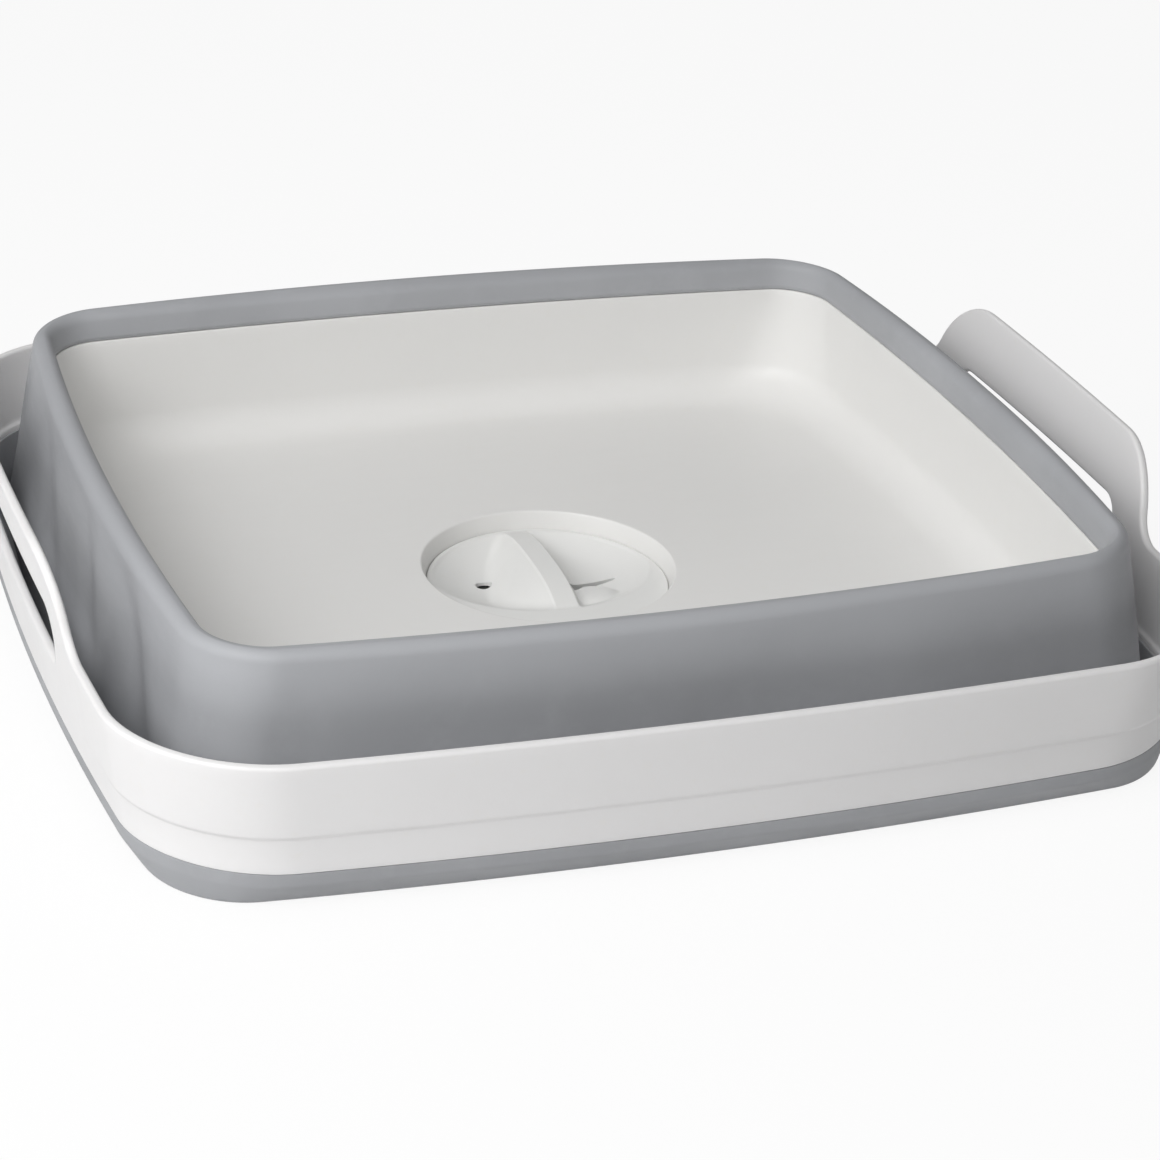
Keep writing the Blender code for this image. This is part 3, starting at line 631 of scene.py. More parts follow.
SECTION_STEP = 2.5  # the longest stretch of a soft section
LIP_TOP_Z = 24.4  # lip inside the rim
BAND_INSET = 4.8  # the band that shows under the rim
BAND_TOP_Z = 12.3
BAND_BREAK_Z = 8.0
FOLD_H = 2.8
WALL_T = 2.4
PANEL_FOOT_Z = 3.1
PANEL_FOOT_WIDTH = 2.3
RIDGE_MIDDLE = (30.4, 69.6)  # inset and z of the top fold's arc
RIDGE_R = 4.4
RIDGE_ARC = (170.5, 66.0)  # degrees: the arc leaves the wall at a tangent
RIDGE_OUT = 1.6  # how far the long sides' ridge stands out past the even outline
RIDGE_SAG = 1.1  # how much the front ridge rises to the right and falls to the left
RIDGE_END_INSET = 35.2  # both end here, and fade out over this width
RIDGE_FADE = 4.0
RIDGE_SAG_AT = (150.0, 135.0)  # x and -y where the front ridge has its full rise
SKIN_RISE = (12.0, 50.0)  # the long sides stand out from this z, in full this much higher
BAND_RISE = (64.0, 5.0)
INNER_LAP = 0.02  # the inner band lies this far outside the panel
WAVE_LOW_Z = 6.0
WAVE_SPAN_Z = 64.0
WAVES = ((0.5, 5.0, 0.6, 0.0), (0.4, 11.0, 2.1, 0.0), (0.25, 17.0, 0.0, 3.0))
FOLDS_FROM_Z = 65.0
# Folds of the -X side: depth, place along the side, lean, width, and how it widens downwards
FOLDS = ((3.4, -72.0, 0.5, 14.0, 0.08), (-1.2, -42.0, 0.5, 12.0, 0.0), (2.0, -16.0, 0.5, 13.0, 0.0),
         (1.9, 60.0, 0.85, 14.0, 0.0), (-2.0, 98.0, 0.0, 19.0, 0.0))


def outer_band_section():
    """The lip inside the rim, the band under the rim, and the fold that the basin stands on."""
    by_rim = [(10.3, 8.3, 1.5), (10.3, 12.1, 0.0), (7.9, LIP_TOP_Z, 0.4), (6.8, LIP_TOP_Z, 0.3),
              (8.1, BAND_TOP_Z, 0.2), (BAND_INSET, BAND_TOP_Z, 0.25), (BAND_INSET, BAND_BREAK_Z, 3.2)]
    by_fold = [(10.7, 0.0, 4.2), (FOLD_END, 0.0, 1.6), (FOLD_END, FOLD_H, 0.5),
               (12.2, FOLD_H, 1.4)]
    section = [(inset, z, RIM_CORNER_R - inset, fillet) for inset, z, fillet in by_rim]
    section += [(inset, z, FOLD_CORNER_R + FOLD_INSET - inset, fillet)
                for inset, z, fillet in by_fold]
    return dense(rounded(section), SECTION_STEP)


def ridge_point(degrees, radius):
    turn = math.radians(degrees)
    return RIDGE_MIDDLE[0] + radius * math.cos(turn), RIDGE_MIDDLE[1] + radius * math.sin(turn)


def wall_section(points):
    """A section of insets and heights, with the wall's corner radius for each."""
    return dense([np.array((inset, z, read_between(WALL_CORNER, inset))) for inset, z in points],
                 SECTION_STEP)


def panel_section():
    """Up the outer face, over the ridge, round the edge hidden under the inner band, and down."""
    start, end = RIDGE_ARC
    outer = [ridge_point(d, RIDGE_R) for d in np.linspace(start, end, 20)]
    inner = [ridge_point(d, RIDGE_R - WALL_T) for d in np.linspace(end, start, 9)]
    edge = [ridge_point(end - 4.0, RIDGE_R - 0.4), ridge_point(end - 6.0, RIDGE_R - WALL_T / 2.0),
            ridge_point(end - 4.0, RIDGE_R - WALL_T + 0.4)]
    foot = [(FOLD_END - PANEL_FOOT_WIDTH, PANEL_FOOT_Z), (FOLD_END, PANEL_FOOT_Z)]
    return wall_section(foot[:1] + outer + edge + inner + foot[1:])


def inner_band_section():
    """Over the ridge, down to the soft edge on the tray, and back up behind the tray's wall."""
    over = [ridge_point(d, RIDGE_R + INNER_LAP) for d in np.linspace(86.0, 14.0, 15)]
    path = rounded([(*over[-1], 0.0), (35.2, 66.4, 2.0), (35.3, 64.8, 0.6),
                    (34.9, 63.5, 0.2), (32.4, 63.5, 0.3), (31.7, 54.0, 0.6), (29.9, 54.0, 0.6),
                    (30.6, 64.0, 1.5), (30.4, 69.0, 0.6)], closed=False)
    under = [ridge_point(54.0, RIDGE_R - 2.6), ridge_point(57.0, RIDGE_R - 0.6),
             ridge_point(66.0, RIDGE_R - 0.05), ridge_point(76.0, RIDGE_R - 0.02)]
    return wall_section(over + [tuple(point) for point in path[1:]] + under)


def wall_waves(z):
    """Undulations of the standing wall, largest half way up, and folds near the -X corners."""
    a, b, dx, dy = COLUMNS.T
    share = (z - WAVE_LOW_Z) / WAVE_SPAN_Z
    swell = math.sin(math.pi * min(max(share, 0.0), 1.0)) ** 0.8
    place = np.arctan2(b + dy * 0.3, a + dx * 0.3)
    wave = sum(height * np.sin(place * count + turn + share * drift)
               for height, count, turn, drift in WAVES)
    along = b * (HALF_Y - 40.0) + dy * 20.0
    down = FOLDS_FROM_Z - z
    folds = sum(depth * np.exp(-((along - middle + lean * down) / (width + widening * down)) ** 2)
                for depth, middle, lean, width, widening in FOLDS)
    on_side = np.clip(-dx, 0.0, 1.0)
    return (wave - folds * on_side) * swell


def ridge_out(inset, z, low_z, rise):
    """How far the long sides stand out at this place, between low_z and low_z + rise."""
    return (RIDGE_OUT * smoothstep((z - low_z) / rise)
            * smoothstep((RIDGE_END_INSET - inset) / RIDGE_FADE))


def wall_ring(inset, radius, z, out, bulge=None):
    points = ring(inset, radius, z, bulge)
    x, y = points[:, 0], points[:, 1]
    front = np.clip(-y / RIDGE_SAG_AT[1], 0.0, 1.0)
    points[:, 2] += out / RIDGE_OUT * RIDGE_SAG * (x / RIDGE_SAG_AT[0]) * front
    points[:, 1] += out * np.clip(y / (HALF_Y - inset - radius), -1.0, 1.0)
    return points


def make_wall():
    band = loft("outer_band", [ring(inset, radius, z) for inset, z, radius in outer_band_section()])
    finish_piece(band, wall_grey, "rim", "wall_rubber", "wall_outer_band")
    skin = loft("wall_skin", [wall_ring(inset, radius, z, ridge_out(inset, z, *SKIN_RISE),
                                        wall_waves(z))
                              for inset, z, radius in panel_section()])
    finish_piece(skin, ridge_painted_light_grey, None, "wall_rubber", "wall_panel")
    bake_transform(skin)
    inner = loft("inner_band", [wall_ring(inset, radius, z, ridge_out(inset, z, *BAND_RISE))
                                for inset, z, radius in inner_band_section()])
    sharpen(inner, degrees=70.0)
    finish_piece(inner, inner_painted_light_grey, "tray", "wall_rubber", "wall_inner_band")


# Tray

TRAY_T = 2.6
TRAY_EDGE_Z = 65.0  # the soft edge that shows; the stiff one lies under it
STIFF_EDGE_Z = 63.2
FLOOR_Z = 23.0
TRAY_DEPTH = TRAY_EDGE_Z - FLOOR_Z
TRAY_DRAFT = 3.0
CORNER_GROWTH = 13.0  # the corner radius grows by this from the edge to the floor
FLOOR_R = 13.0
COVE_TOP_Z = FLOOR_Z + FLOOR_R
COVE_ROWS = 15
UNDER_HOLE_R = 50.0

# Drain: recess, shelf, seat
DRAIN_Z = 22.4
DRAIN_EDGE_R = 44.9
RECESS_R = 43.4
RECESS_FOOT_R = 41.7
RECESS_Z = 16.4
SHELF_Z = 12.4
CUP_R = 37.3
SEAT_Z = 8.2
STEM_HOLE_R = 5.3
PORT_R = 21.0
PORT_HALF = 2.3
PORT_SPAN = math.radians(18.0)
PORT_ANGLE = math.radians(70.0)
PORT_CUT_Z = (4.0, 9.0)  # from under the seat to above the black sheet of painted shade
UNDER_DRAIN_R = 46.2

RIB_COUNT = 8
RIB_NEAR_R = 44.2
RIB_INSET = 71.0
RIB_HALF = 1.0
RIB_LOW_Z = 15.6
RIB_TOP_Z = 20.7
FOOT_INSET = 62.0
FOOT_T = 3.0
FOOT_CORNER_R = 22.0
FOOT_Z = 3.98
FOOT_TOP_Z = 19.98
SHOE_INSET = 63.5  # middle of the foot ring's wall
SHOE_CORNER_R = 20.5
SHOE_Z = 1.98
SHOE_TOP_Z = 8.98
SHOE_HALF = 4.2
GROOVE_HALF = 1.8
GROOVE_Z = 3.68
SHOE_STEPS = 20


def tray_inset(z):
    return TRAY_INSET + TRAY_DRAFT * (TRAY_EDGE_Z - z) / TRAY_DEPTH


def tray_corner(z):
    return TRAY_CORNER_R + CORNER_GROWTH * (TRAY_EDGE_Z - z) / TRAY_DEPTH


def wall_rings(offset, heights):
    """Rings of the tray's wall, moved outwards by an offset."""
    return [ring(tray_inset(z) - offset, tray_corner(z) + offset, z) for z in heights]


def cove_rings(offset, degrees):
    """Rings of the round between wall and floor, moved outwards and down by an offset."""
    rings = []
    for turn in np.radians(degrees):
        inset = tray_inset(COVE_TOP_Z) + FLOOR_R + (FLOOR_R + offset) * math.cos(turn)
        z = COVE_TOP_Z + (FLOOR_R + offset) * math.sin(turn)
        rings.append(ring(inset, tray_corner(z) + offset, z))
    return rings


def circle_rings(profile, like):
    """Circles round the drain whose columns point the way that the columns of a ring do."""
    turns = np.arctan2(like[:, 1] / HALF_Y, like[:, 0] / HALF_X)
    return [np.stack([radius * np.cos(turns), radius * np.sin(turns), np.full(len(like), float(z))], 1)
            for radius, z in profile]


def make_tray_shell():
    cove = np.linspace(180.0, 270.0, COVE_ROWS)
    rings = wall_rings(0.5, [STIFF_EDGE_Z]) + wall_rings(0.15, [STIFF_EDGE_Z - 0.1])
    rings += wall_rings(0.0, [62.7, 60.0, 56.0, 52.0, 48.0, 44.0, 40.0]) + cove_rings(0.0, cove)
    edge = rings[-1]
    hole = circle_rings([(DRAIN_EDGE_R, DRAIN_Z)], edge)[0]
    rings += [edge + (hole - edge) * share for share in np.linspace(0.0, 1.0, 14)[1:-1]]
    upper = [(DRAIN_EDGE_R, DRAIN_Z, 0.0), (RECESS_R, DRAIN_Z, 1.1), (RECESS_FOOT_R, RECESS_Z, 0.0),
             (RECESS_FOOT_R, SHELF_Z, 0.3), (CUP_R, SHELF_Z, 0.3), (CUP_R, SEAT_Z, 0.5),
             (STEM_HOLE_R, SEAT_Z, 0.0)]
    lower = [(STEM_HOLE_R, SEAT_Z - TRAY_T, 0.0), (CUP_R + TRAY_T, SEAT_Z - TRAY_T, 1.0),
             (CUP_R + TRAY_T, SHELF_Z - TRAY_T, 0.3), (RECESS_FOOT_R + TRAY_T, SHELF_Z - TRAY_T, 0.8),
             (UNDER_DRAIN_R, DRAIN_Z - TRAY_T, 1.5), (UNDER_HOLE_R, DRAIN_Z - TRAY_T, 0.0)]
    for profile in (upper, lower):
        rings += circle_rings(rounded(profile, closed=False), edge)
    under_edge = ring(tray_inset(COVE_TOP_Z) + FLOOR_R, tray_corner(FLOOR_Z), FLOOR_Z - TRAY_T)
    under_hole = rings[-1]
    rings += [under_hole + (under_edge - under_hole) * share
              for share in np.linspace(0.0, 1.0, 10)[1:]]
    rings += cove_rings(TRAY_T, cove[::-1][1:])
    rings += wall_rings(TRAY_T, [44.0, 52.0, 60.0, 62.8]) + wall_rings(2.2, [STIFF_EDGE_Z])
    tray = loft("tray_shell", rings)
    cut_away(tray, seat_ports())
    sharpen(tray, degrees=50.0)
    finish_piece(tray, tray_white, "tray", "tray_plastic", "base_tray")


def make_tray_ribs():
    """Thin ribs under the floor, each with a drafted, rounded lower edge."""
    side = ((1.0, RIB_TOP_Z), (0.85, RIB_LOW_Z + 0.8), (0.55, RIB_LOW_Z + 0.2))
    section = [(-RIB_HALF * share, z) for share, z in side] + [(0.0, RIB_LOW_Z)]
    section += [(RIB_HALF * share, z) for share, z in reversed(side)]
    points, faces = [], []
    for k in range(RIB_COUNT):
        angle = 2.0 * math.pi * (k + 0.5) / RIB_COUNT
        cosine, sine = math.cos(angle), math.sin(angle)
        reach = min((HALF_X - RIB_INSET) / abs(cosine), (HALF_Y - RIB_INSET) / abs(sine))
        faces += [tuple(len(points) + v for v in face) for face in tube_faces(2, len(section))]
        points += [(along * cosine - across * sine, along * sine + across * cosine, z)
                   for along in (RIB_NEAR_R, reach) for across, z in section]
    ribs = mesh_piece("tray_ribs", points, faces)
    finish_piece(ribs, tray_white, "tray", "tray_plastic")


def make_foot_ring():
    inner = FOOT_INSET + FOOT_T
    section = rounded([(FOOT_INSET, FOOT_TOP_Z, 0.4), (FOOT_INSET, FOOT_Z, 0.7),
                       (inner, FOOT_Z, 0.7), (inner, FOOT_TOP_Z, 0.4)])
    foot = loft("foot_skirt", [ring(inset, FOOT_CORNER_R + FOOT_INSET - inset, z)
                               for inset, z in dense(section, 3.0)])
    finish_piece(foot, tray_white, "tray", "tray_plastic", "foot_ring")


def make_shoes():
    """A soft shoe on each corner of the foot ring, grooved to take the ring's edge."""
    section = rounded([(-SHOE_HALF, SHOE_Z, 1.1), (SHOE_HALF, SHOE_Z, 1.1),
                       (SHOE_HALF, SHOE_TOP_Z, 0.6), (GROOVE_HALF, SHOE_TOP_Z, 0.3),
                       (GROOVE_HALF, GROOVE_Z, 0.2), (-GROOVE_HALF, GROOVE_Z, 0.2),
                       (-GROOVE_HALF, SHOE_TOP_Z, 0.3), (-SHOE_HALF, SHOE_TOP_Z, 0.6)], steps=4)
    faces = tube_faces(SHOE_STEPS + 1, len(section))
    for quarter, (sign_x, sign_y) in enumerate(CORNERS):
        centre_x = sign_x * (HALF_X - SHOE_INSET - SHOE_CORNER_R)
        centre_y = sign_y * (HALF_Y - SHOE_INSET - SHOE_CORNER_R)
        points = []
        for k in range(SHOE_STEPS + 1):
            angle = math.pi / 2.0 * (quarter + k / SHOE_STEPS)
            for out, z in section:
                radius = SHOE_CORNER_R + out
                x, y = bowed(centre_x + radius * math.cos(angle), centre_y + radius * math.sin(angle),
                             SHOE_INSET - out)
                points.append((float(x), float(y), float(z)))
        shoe = mesh_piece("shoe_%d" % (quarter + 1), points, faces)
        sharpen(shoe, degrees=60.0)
        finish_piece(shoe, shoe_grey, "tray", "shoe_rubber", "foot_shoe_%d" % (quarter + 1))


# Cutters for the ports

def prism(name, outline, low_z, high_z):
    points = [(x, y, z) for z in (low_z, high_z) for x, y in outline]
    return mesh_piece(name, points, tube_faces(2, len(outline)))


def arc_points(middle, radius, start, end, count):
    return [(middle[0] + radius * math.cos(t), middle[1] + radius * math.sin(t))
            for t in np.linspace(start, end, count)]


def seat_port(angle):
    """A curved slot in the drain seat, with round ends."""
    start, end = angle - PORT_SPAN, angle + PORT_SPAN

    def round_end(at, turn):
        middle = (PORT_R * math.cos(at), PORT_R * math.sin(at))
        return arc_points(middle, PORT_HALF, turn, turn + math.pi, 11)[1:-1]

    outline = arc_points((0.0, 0.0), PORT_R + PORT_HALF, start, end, 17) + round_end(end, end)
    outline += arc_points((0.0, 0.0), PORT_R - PORT_HALF, end, start, 17)
    outline += round_end(start, start + math.pi)
    return prism("seat_port", outline, *PORT_CUT_Z)


def seat_ports():
    return [seat_port(PORT_ANGLE), seat_port(PORT_ANGLE + math.pi)]


def slot_form(name, path, halves, low_z, high_z):
    """A slot along a smoothed path with round ends. halves: half its width at either end."""
    path = np.array(path, float)
    lengths = np.concatenate([[0.0], np.cumsum(np.hypot(*np.diff(path, axis=0).T))])
    at = np.linspace(0.0, lengths[-1], 25)
    fine = np.stack([np.interp(at, lengths, path[:, k]) for k in range(2)], 1)
    for _ in range(6):
        fine[1:-1] = (fine[:-2] + fine[1:-1] * 2.0 + fine[2:]) / 4.0
    ahead = np.gradient(fine, axis=0)
    ahead /= np.hypot(ahead[:, 0], ahead[:, 1])[:, None]
    side = np.stack([-ahead[:, 1], ahead[:, 0]], 1)
    half = np.linspace(halves[0], halves[1], len(fine))[:, None]

    def round_end(k, radius, start):
        turns = np.linspace(start, start + math.pi, 9)[1:-1]
        return [fine[k] + (ahead[k] * math.cos(t) + side[k] * math.sin(t)) * radius for t in turns]

    outline = list(fine - side * half) + round_end(-1, halves[1], -math.pi / 2.0)
    outline += list((fine + side * half)[::-1]) + round_end(0, halves[0], math.pi / 2.0)
    return prism(name, outline, low_z, high_z)


# Drain plug

PLUG_R = 41.5
PLUG_TOP = RECESS_Z
PLUG_RIM = 2.6  # plain rim round the dishes
PLUG_EDGE_R = 0.8
PLUG_FLANGE_T = 1.9
PLUG_SKIRT_R = 36.7
PLUG_BOTTOM_Z = 8.5
STEM_R = 5.0
STEM_END_Z = 4.4
PLUG_ROWS = 121
# Columns of the plug's upper face on either side of the bar: from, to, count
PLUG_COLUMNS = ((0.0, 5.6, 23), (6.1, 14.0, 20), (14.6, PLUG_R - PLUG_RIM, 34),
                (PLUG_R - 2.3, PLUG_R, 14))

# Grip bar, and the flanks that fall from it
BAR_HALF = 4.2
BAR_RISE = 4.6
BAR_MIDDLE_Y = 9.0
BAR_REACH = 30.5
BAR_EDGE_R = 0.5
BAR_SHOULDER = 0.4  # the flanks start this far under the bar's top
LEFT_FOLD_X = 4.8  # the left flank's fold: nearest to the bar at its back end
LEFT_FOLD_CURVE = 0.0085
LEFT_FOLD_BACK_Y = 38.0
LEFT_SLOPES = (0.52, 1.2)  # before and past the fold
RIGHT_FALL = 11.0
RIGHT_REACH = 4.6

# Dishes, and the lobe in front of the right port
DISH_MIDDLE_Y = 8.0
DISH_HALF = (38.6, 30.6)
DISH_DEEP = 6.0
DISH_SIDE = 0.55  # the share of the dish over which it falls
LOBE_MIDDLE = (14.0, -9.5)
LOBE_HALF = (12.5, 11.0)
LOBE_DROP = 1.7
LOBE_FALL = 4.2

# Ports, and the wider pockets under them
RIGHT_PORT = ((9.4, -2.2), (11.6, 0.6), (14.8, 2.6), (18.6, 3.8), (22.4, 4.6), (25.6, 4.8))
LEFT_PORT = ((-19.6, 11.9), (-18.4, 12.0))
CUT_LOW_Z = 3.0
CUT_TOP_Z = 30.0
POCKET_Z = 9.4
PORT_FORMS = (("right_port", RIGHT_PORT, (2.3, 0.8), CUT_TOP_Z),
              ("left_port", LEFT_PORT, (2.4, 2.4), CUT_TOP_Z),
              ("right_pocket", RIGHT_PORT, (4.2, 5.0), POCKET_Z),
              ("left_pocket", LEFT_PORT, (6.4, 6.4), POCKET_Z))

# Small rings: steps, and sections of (radius, z, fillet)
CLIP_STEPS = 96
CLIP_SECTION = ((5.3, 5.3, 0.2), (9.1, 5.3, 0.5), (9.1, 3.9, 0.5), (5.3, 3.9, 0.2))
SEAL_SECTION = ((37.6, 14.2, 0.5), (41.4, 14.2, 0.5), (41.4, 12.7, 0.5), (37.6, 12.7, 0.5))
SHADE_SHEET_STEPS = 130  # so that no column runs through the middle of a port
SHADE_SHEET_SECTION = ((5.8, 8.26), (5.8, 8.42), (36.4, 8.42), (36.4, 8.26))


def smooth_max(a, b, width):
    share = np.clip(0.5 + 0.5 * (a - b) / width, 0.0, 1.0)
    return b + (a - b) * share + width * share * (1.0 - share)


def bar_top(y):
    """Height of the grip bar along its length: level in the middle, arched down at its ends."""
    reach = np.clip(np.abs(y - BAR_MIDDLE_Y) / BAR_REACH, 0.0, 1.0)
    return PLUG_TOP + BAR_RISE * (1.0 - reach ** 3.0)


def scoop_dish(x, y):
    """The two dishes: a round fall from an outline that leaves a level land in front."""
    reach = np.hypot(x / DISH_HALF[0], (y - DISH_MIDDLE_Y) / DISH_HALF[1])
    fall = np.sin(math.pi / 2.0 * np.clip((1.0 - reach) / DISH_SIDE, 0.0, 1.0))
    return PLUG_TOP - DISH_DEEP * fall


def left_flank(x, y):
    """The broad facet left of the bar, and the drop past its soft fold into the dish."""
    across = np.maximum(-x, 0.0)
    fold = LEFT_FOLD_X + LEFT_FOLD_CURVE * np.maximum(LEFT_FOLD_BACK_Y - y, 0.0) ** 2
    top = bar_top(y) - BAR_SHOULDER
    near = top - LEFT_SLOPES[0] * (across - BAR_HALF)
    far = top - LEFT_SLOPES[0] * (fold - BAR_HALF) - LEFT_SLOPES[1] * (across - fold)
    return -smooth_max(-near, -far, 2.4)


def right_flank(x, y):
    """The steep flank right of the bar, hollow down to its foot."""
    across = np.maximum(x - BAR_HALF, 0.0)
    return bar_top(y) - BAR_SHOULDER - RIGHT_FALL * (1.0 - np.exp(-across / RIGHT_REACH))


def front_lobe(x, y):
    reach = np.hypot((x - LOBE_MIDDLE[0]) / LOBE_HALF[0], (y - LOBE_MIDDLE[1]) / LOBE_HALF[1])
    return PLUG_TOP - LOBE_DROP - LOBE_FALL * np.clip(reach, 0.0, 3.0) ** 3.0


def plug_height(x, y):
    """Height of the plug's upper face."""
    dish = scoop_dish(x, y)
    left = smooth_max(dish, left_flank(x, y), 3.2)
    right = smooth_max(dish, right_flank(x, y), 2.6)
    right = smooth_max(right, front_lobe(x, y), 0.4)
    body = np.where(x < 0.0, left, right)
    past = np.maximum(np.abs(x) - (BAR_HALF - BAR_EDGE_R), 0.0)
    rounding = BAR_EDGE_R - np.sqrt(np.maximum(BAR_EDGE_R ** 2 - past ** 2, 0.0))
    steep = BAR_EDGE_R + (past - BAR_EDGE_R) * 6.0
    crown = bar_top(y) - np.where(past < BAR_EDGE_R, rounding, steep)
    body = np.minimum(np.maximum(body, crown), bar_top(y))
    radius = np.hypot(x, y)
    lip = smoothstep((radius - (PLUG_R - PLUG_RIM)) / (PLUG_RIM / 2.0))
    body = body * (1.0 - lip) + PLUG_TOP * lip
    turn = np.clip((radius - (PLUG_R - PLUG_EDGE_R)) / PLUG_EDGE_R, 0.0, 1.0)
    return body - PLUG_EDGE_R * (1.0 - np.sqrt(np.maximum(1.0 - turn ** 2, 0.0)))


def plug_face():
    """The upper face: a grid of points over the round plug, with rows close at its edge."""
    columns = np.concatenate([np.linspace(*part) for part in PLUG_COLUMNS])
    columns = np.concatenate([-columns[:0:-1], columns])
    shares = np.sin(np.linspace(-math.pi / 2.0, math.pi / 2.0, PLUG_ROWS))
    reach = np.sqrt(np.maximum(PLUG_R ** 2 - columns ** 2, 0.0))
    x = np.repeat(columns, PLUG_ROWS)
    y = (reach[:, None] * shares).ravel()
    return np.stack([x, y, plug_height(x, y)], 1), len(columns)


def make_plug():
    face, count = plug_face()
    points = face.tolist()
    faces = []
    for i in range(count - 1):
        for k in range(PLUG_ROWS - 1):
            a, b = i * PLUG_ROWS + k, (i + 1) * PLUG_ROWS + k
            faces.append((a, b, b + 1, a + 1))
    last = PLUG_ROWS - 1
    loop = [i * PLUG_ROWS for i in range(count)]
    loop += [(count - 1) * PLUG_ROWS + k for k in range(1, PLUG_ROWS)]
    loop += [i * PLUG_ROWS + last for i in range(count - 2, -1, -1)]
    loop += list(range(last - 1, 0, -1))
    under_z = PLUG_TOP - PLUG_FLANGE_T
    levels = ((PLUG_R, under_z), (PLUG_SKIRT_R, under_z), (PLUG_SKIRT_R, PLUG_BOTTOM_Z),
              (STEM_R, PLUG_BOTTOM_Z), (STEM_R, STEM_END_Z))
    previous = loop
    for radius, z in levels:
        current = []
        for v in loop:
            x, y = points[v][0], points[v][1]
            scale = radius / max(math.hypot(x, y), 1e-6)
            current.append(len(points))
            points.append((x * scale, y * scale, z))
        for k in range(len(loop)):
            m = (k + 1) % len(loop)
            faces.append((previous[m], previous[k], current[k], current[m]))
        previous = current
    faces.append(tuple(reversed(previous)))
    plug = mesh_piece("plug", points, faces)
    bm = bmesh.new()
    bm.from_mesh(plug.data)
    bmesh.ops.remove_doubles(bm, verts=bm.verts, dist=0.02 * MM)
    bmesh.ops.recalc_face_normals(bm, faces=bm.faces)
    bm.to_mesh(plug.data)
    bm.free()
    cut_away(plug, [slot_form(name, path, halves, CUT_LOW_Z, high_z)
                    for name, path, halves, high_z in PORT_FORMS])
    sharpen(plug, degrees=40.0)
    finish_piece(plug, plug_white, "plug", "plug_plastic", "drain_plug")


def make_small_rings():
    """The clip on the stem, the seal under the flange, and a black sheet on the seat: painted shade
    that the ports show.
    """
    clip = turned("stem_ring", rounded(CLIP_SECTION, steps=4), CLIP_STEPS)
    finish_piece(clip, plug_white, "plug", "plug_plastic", "stem_clip")
    seal = turned("seal_ring", rounded(SEAL_SECTION, steps=4))
    finish_piece(seal, seal_grey, "tray", "seal_rubber", "plug_seal")
    shade_sheet = turned("seat_shade_sheet", SHADE_SHEET_SECTION, SHADE_SHEET_STEPS)
    cut_away(shade_sheet, seat_ports())
    sharpen(shade_sheet, degrees=50.0)
    finish_piece(shade_sheet, shade_sheet_black, "tray", "seal_rubber")


make_rim()
make_wall()
make_tray_shell()
make_tray_ribs()
make_foot_ring()
make_shoes()
make_plug()
make_small_rings()


# Floor, light and camera

FLOOR_HALF = 6000.0
FLOOR_COLOUR = (0.86, 0.86, 0.86, 1.0)
FLOOR_GLOW = 0.9  # how much of the floor that the camera sees is plain white
WORLD_STRENGTH = 0.20
PURE_WHITE = (1.0, 1.0, 1.0, 1.0)
AIM = (0.0, 0.0, 0.04)  # metres, and so are the lamps' distances and sizes
# Lamps: name, azimuth, elevation, distance, size, power. Azimuth 0 is -Y, and it grows to +X.
LAMPS = (("key", -45.0, 45.0, 1.4, 1.0, 12.7),
         ("side", -75.0, 25.0, 1.4, 1.0, 0.9),
         ("near", -60.0, 28.0, 0.75, 0.4, 0.95),
         ("near_left", -90.0, 45.0, 0.75, 0.4, 0.15),
         ("back_left", -125.0, 30.0, 1.4, 1.0, 1.2),
         ("top", 0.0, 86.0, 1.4, 1.0, 0.6),
         ("back_fill", 150.0, 32.0, 1.6, 1.2, 1.2))
CAMERA_PLACE = (-0.3455, -0.9597, 0.5118)  # metres
CAMERA_AZIMUTH = -20.419
CAMERA_ELEVATION = 25.877
CAMERA_ROLL = 3.188
CAMERA_LENS = 102.79


def seen_share(tree, *outputs):
    """A socket that is 1 for the rays named here, and 0 for the rest."""
    path = tree.nodes.new("ShaderNodeLightPath")
    seen = path.outputs[outputs[0]]
    for output in outputs[1:]:
        either = tree.nodes.new("ShaderNodeMath")
        either.operation = "MAXIMUM"
        tree.links.new(seen, either.inputs[0])
        tree.links.new(path.outputs[output], either.inputs[1])
        seen = either.outputs[0]
    return seen


def mix_shaders(tree, share, first, second, target):
    mixed = tree.nodes.new("ShaderNodeMixShader")
    tree.links.new(share, mixed.inputs["Fac"])
    tree.links.new(first, mixed.inputs[1])
    tree.links.new(second, mixed.inputs[2])
    tree.links.new(mixed.outputs["Shader"], target)


def make_floor():
    """A pale floor that stays under the tray's feet. It shows white, with the basin's shadow."""
    points = [(x * FLOOR_HALF, y * FLOOR_HALF, 0.0) for x, y in CORNERS]
    floor = mesh_piece("floor", points, [(0, 1, 2, 3)])
    material = bpy.data.materials.new("floor_white")
    material.use_nodes = True
    tree = material.node_tree
    shader = tree.nodes["Principled BSDF"]
    shader.inputs["Base Color"].default_value = FLOOR_COLOUR
    shader.inputs["Roughness"].default_value = 0.9
    glow = tree.nodes.new("ShaderNodeEmission")
    part = tree.nodes.new("ShaderNodeMath")
    part.operation = "MULTIPLY"
    part.inputs[1].default_value = FLOOR_GLOW
    seen = seen_share(tree, "Is Camera Ray", "Is Glossy Ray", "Is Transmission Ray")
    tree.links.new(seen, part.inputs[0])
    mix_shaders(tree, part.outputs[0], shader.outputs["BSDF"], glow.outputs["Emission"],
                tree.nodes["Material Output"].inputs["Surface"])
    floor.data.materials.append(material)
    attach(floor, "tray")


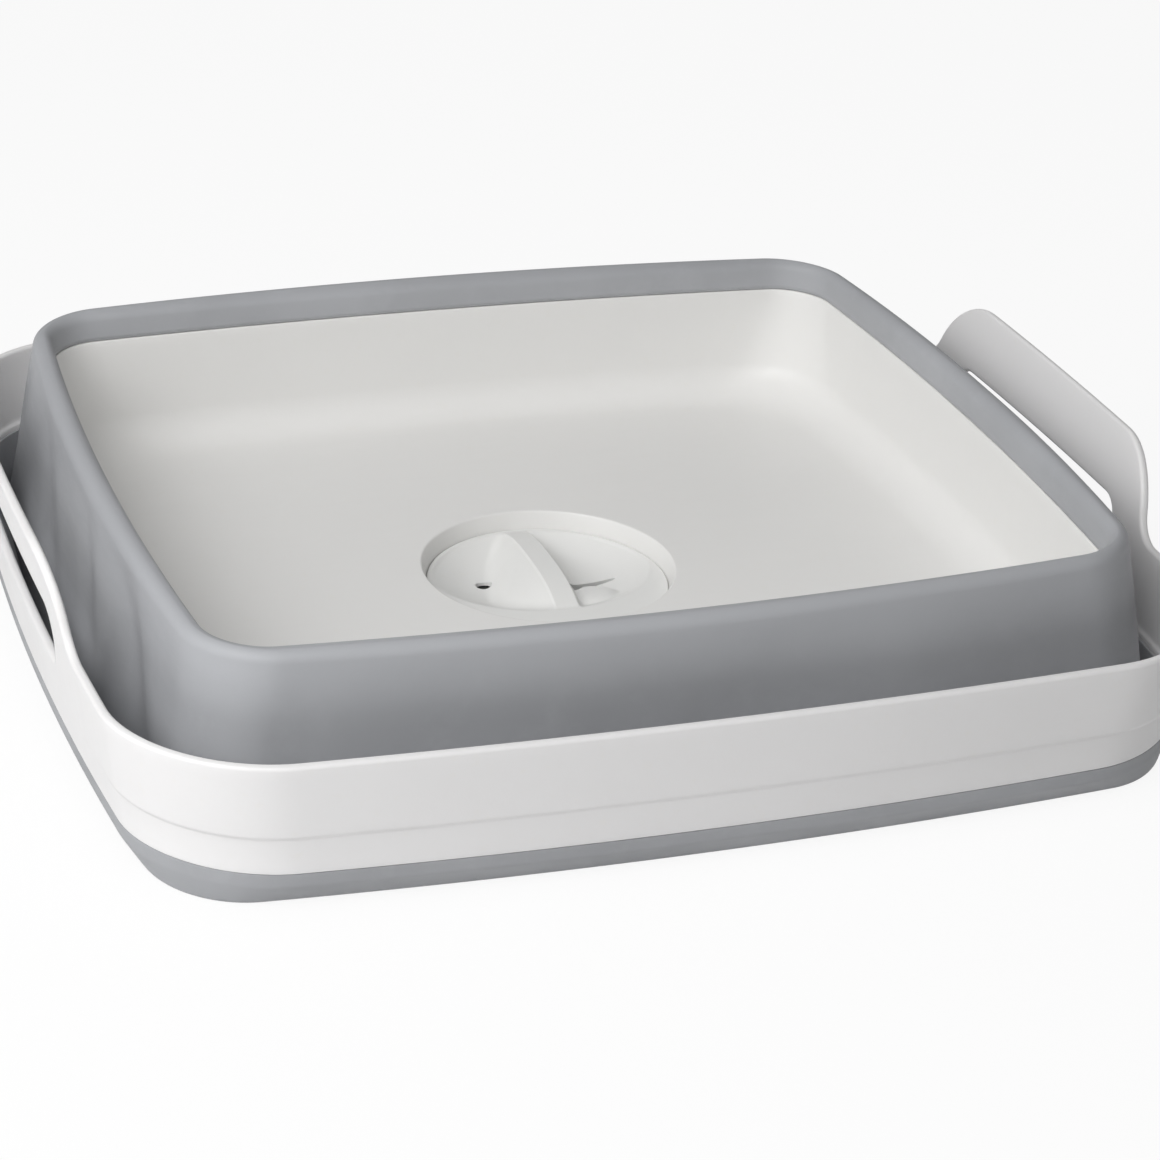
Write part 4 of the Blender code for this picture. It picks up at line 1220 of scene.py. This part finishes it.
def make_world():
    world = bpy.data.worlds.new("studio")
    world.use_nodes = True
    bpy.context.scene.world = world
    tree = world.node_tree
    lit = tree.nodes["Background"]
    lit.inputs["Color"].default_value = PURE_WHITE
    lit.inputs["Strength"].default_value = WORLD_STRENGTH
    white = tree.nodes.new("ShaderNodeBackground")
    white.inputs["Color"].default_value = PURE_WHITE
    mix_shaders(tree, seen_share(tree, "Is Camera Ray"), lit.outputs["Background"],
                white.outputs["Background"], tree.nodes["World Output"].inputs["Surface"])


def direction(azimuth, elevation):
    """From the basin towards a lamp or camera. Degrees."""
    a, e = math.radians(azimuth), math.radians(elevation)
    return np.array((math.sin(a) * math.cos(e), -math.cos(a) * math.cos(e), math.sin(e)))


def looking(position, back, roll=0.0):
    """A matrix for a lamp or camera that looks along -back."""
    right = np.cross(-back, (0.0, 0.0, 1.0))
    right /= np.linalg.norm(right)
    up = np.cross(right, -back)
    turned_right = right * math.cos(roll) + up * math.sin(roll)
    turned_up = -right * math.sin(roll) + up * math.cos(roll)
    matrix = Matrix.Identity(4)
    for column, vector in enumerate((turned_right, turned_up, back, position)):
        for row in range(3):
            matrix[row][column] = float(vector[row])
    return matrix


def make_lamps():
    """Square softboxes round the basin."""
    for name, azimuth, elevation, distance, size, power in LAMPS:
        light = bpy.data.lights.new(name, "AREA")
        light.shape = "SQUARE"
        light.size = size
        light.energy = power
        lamp = bpy.data.objects.new(name, light)
        bpy.context.scene.collection.objects.link(lamp)
        back = direction(azimuth, elevation)
        lamp.matrix_world = looking(np.array(AIM) + back * distance, back)


def make_camera():
    data = bpy.data.cameras.new("camera")
    data.lens = CAMERA_LENS
    data.clip_start = 0.01
    camera = bpy.data.objects.new("camera", data)
    bpy.context.scene.collection.objects.link(camera)
    back = direction(CAMERA_AZIMUTH, CAMERA_ELEVATION)
    camera.matrix_world = looking(np.array(CAMERA_PLACE), back, math.radians(CAMERA_ROLL))
    bpy.context.scene.camera = camera


make_floor()
make_world()
make_lamps()
make_camera()
bpy.context.scene.view_settings.view_transform = "Standard"
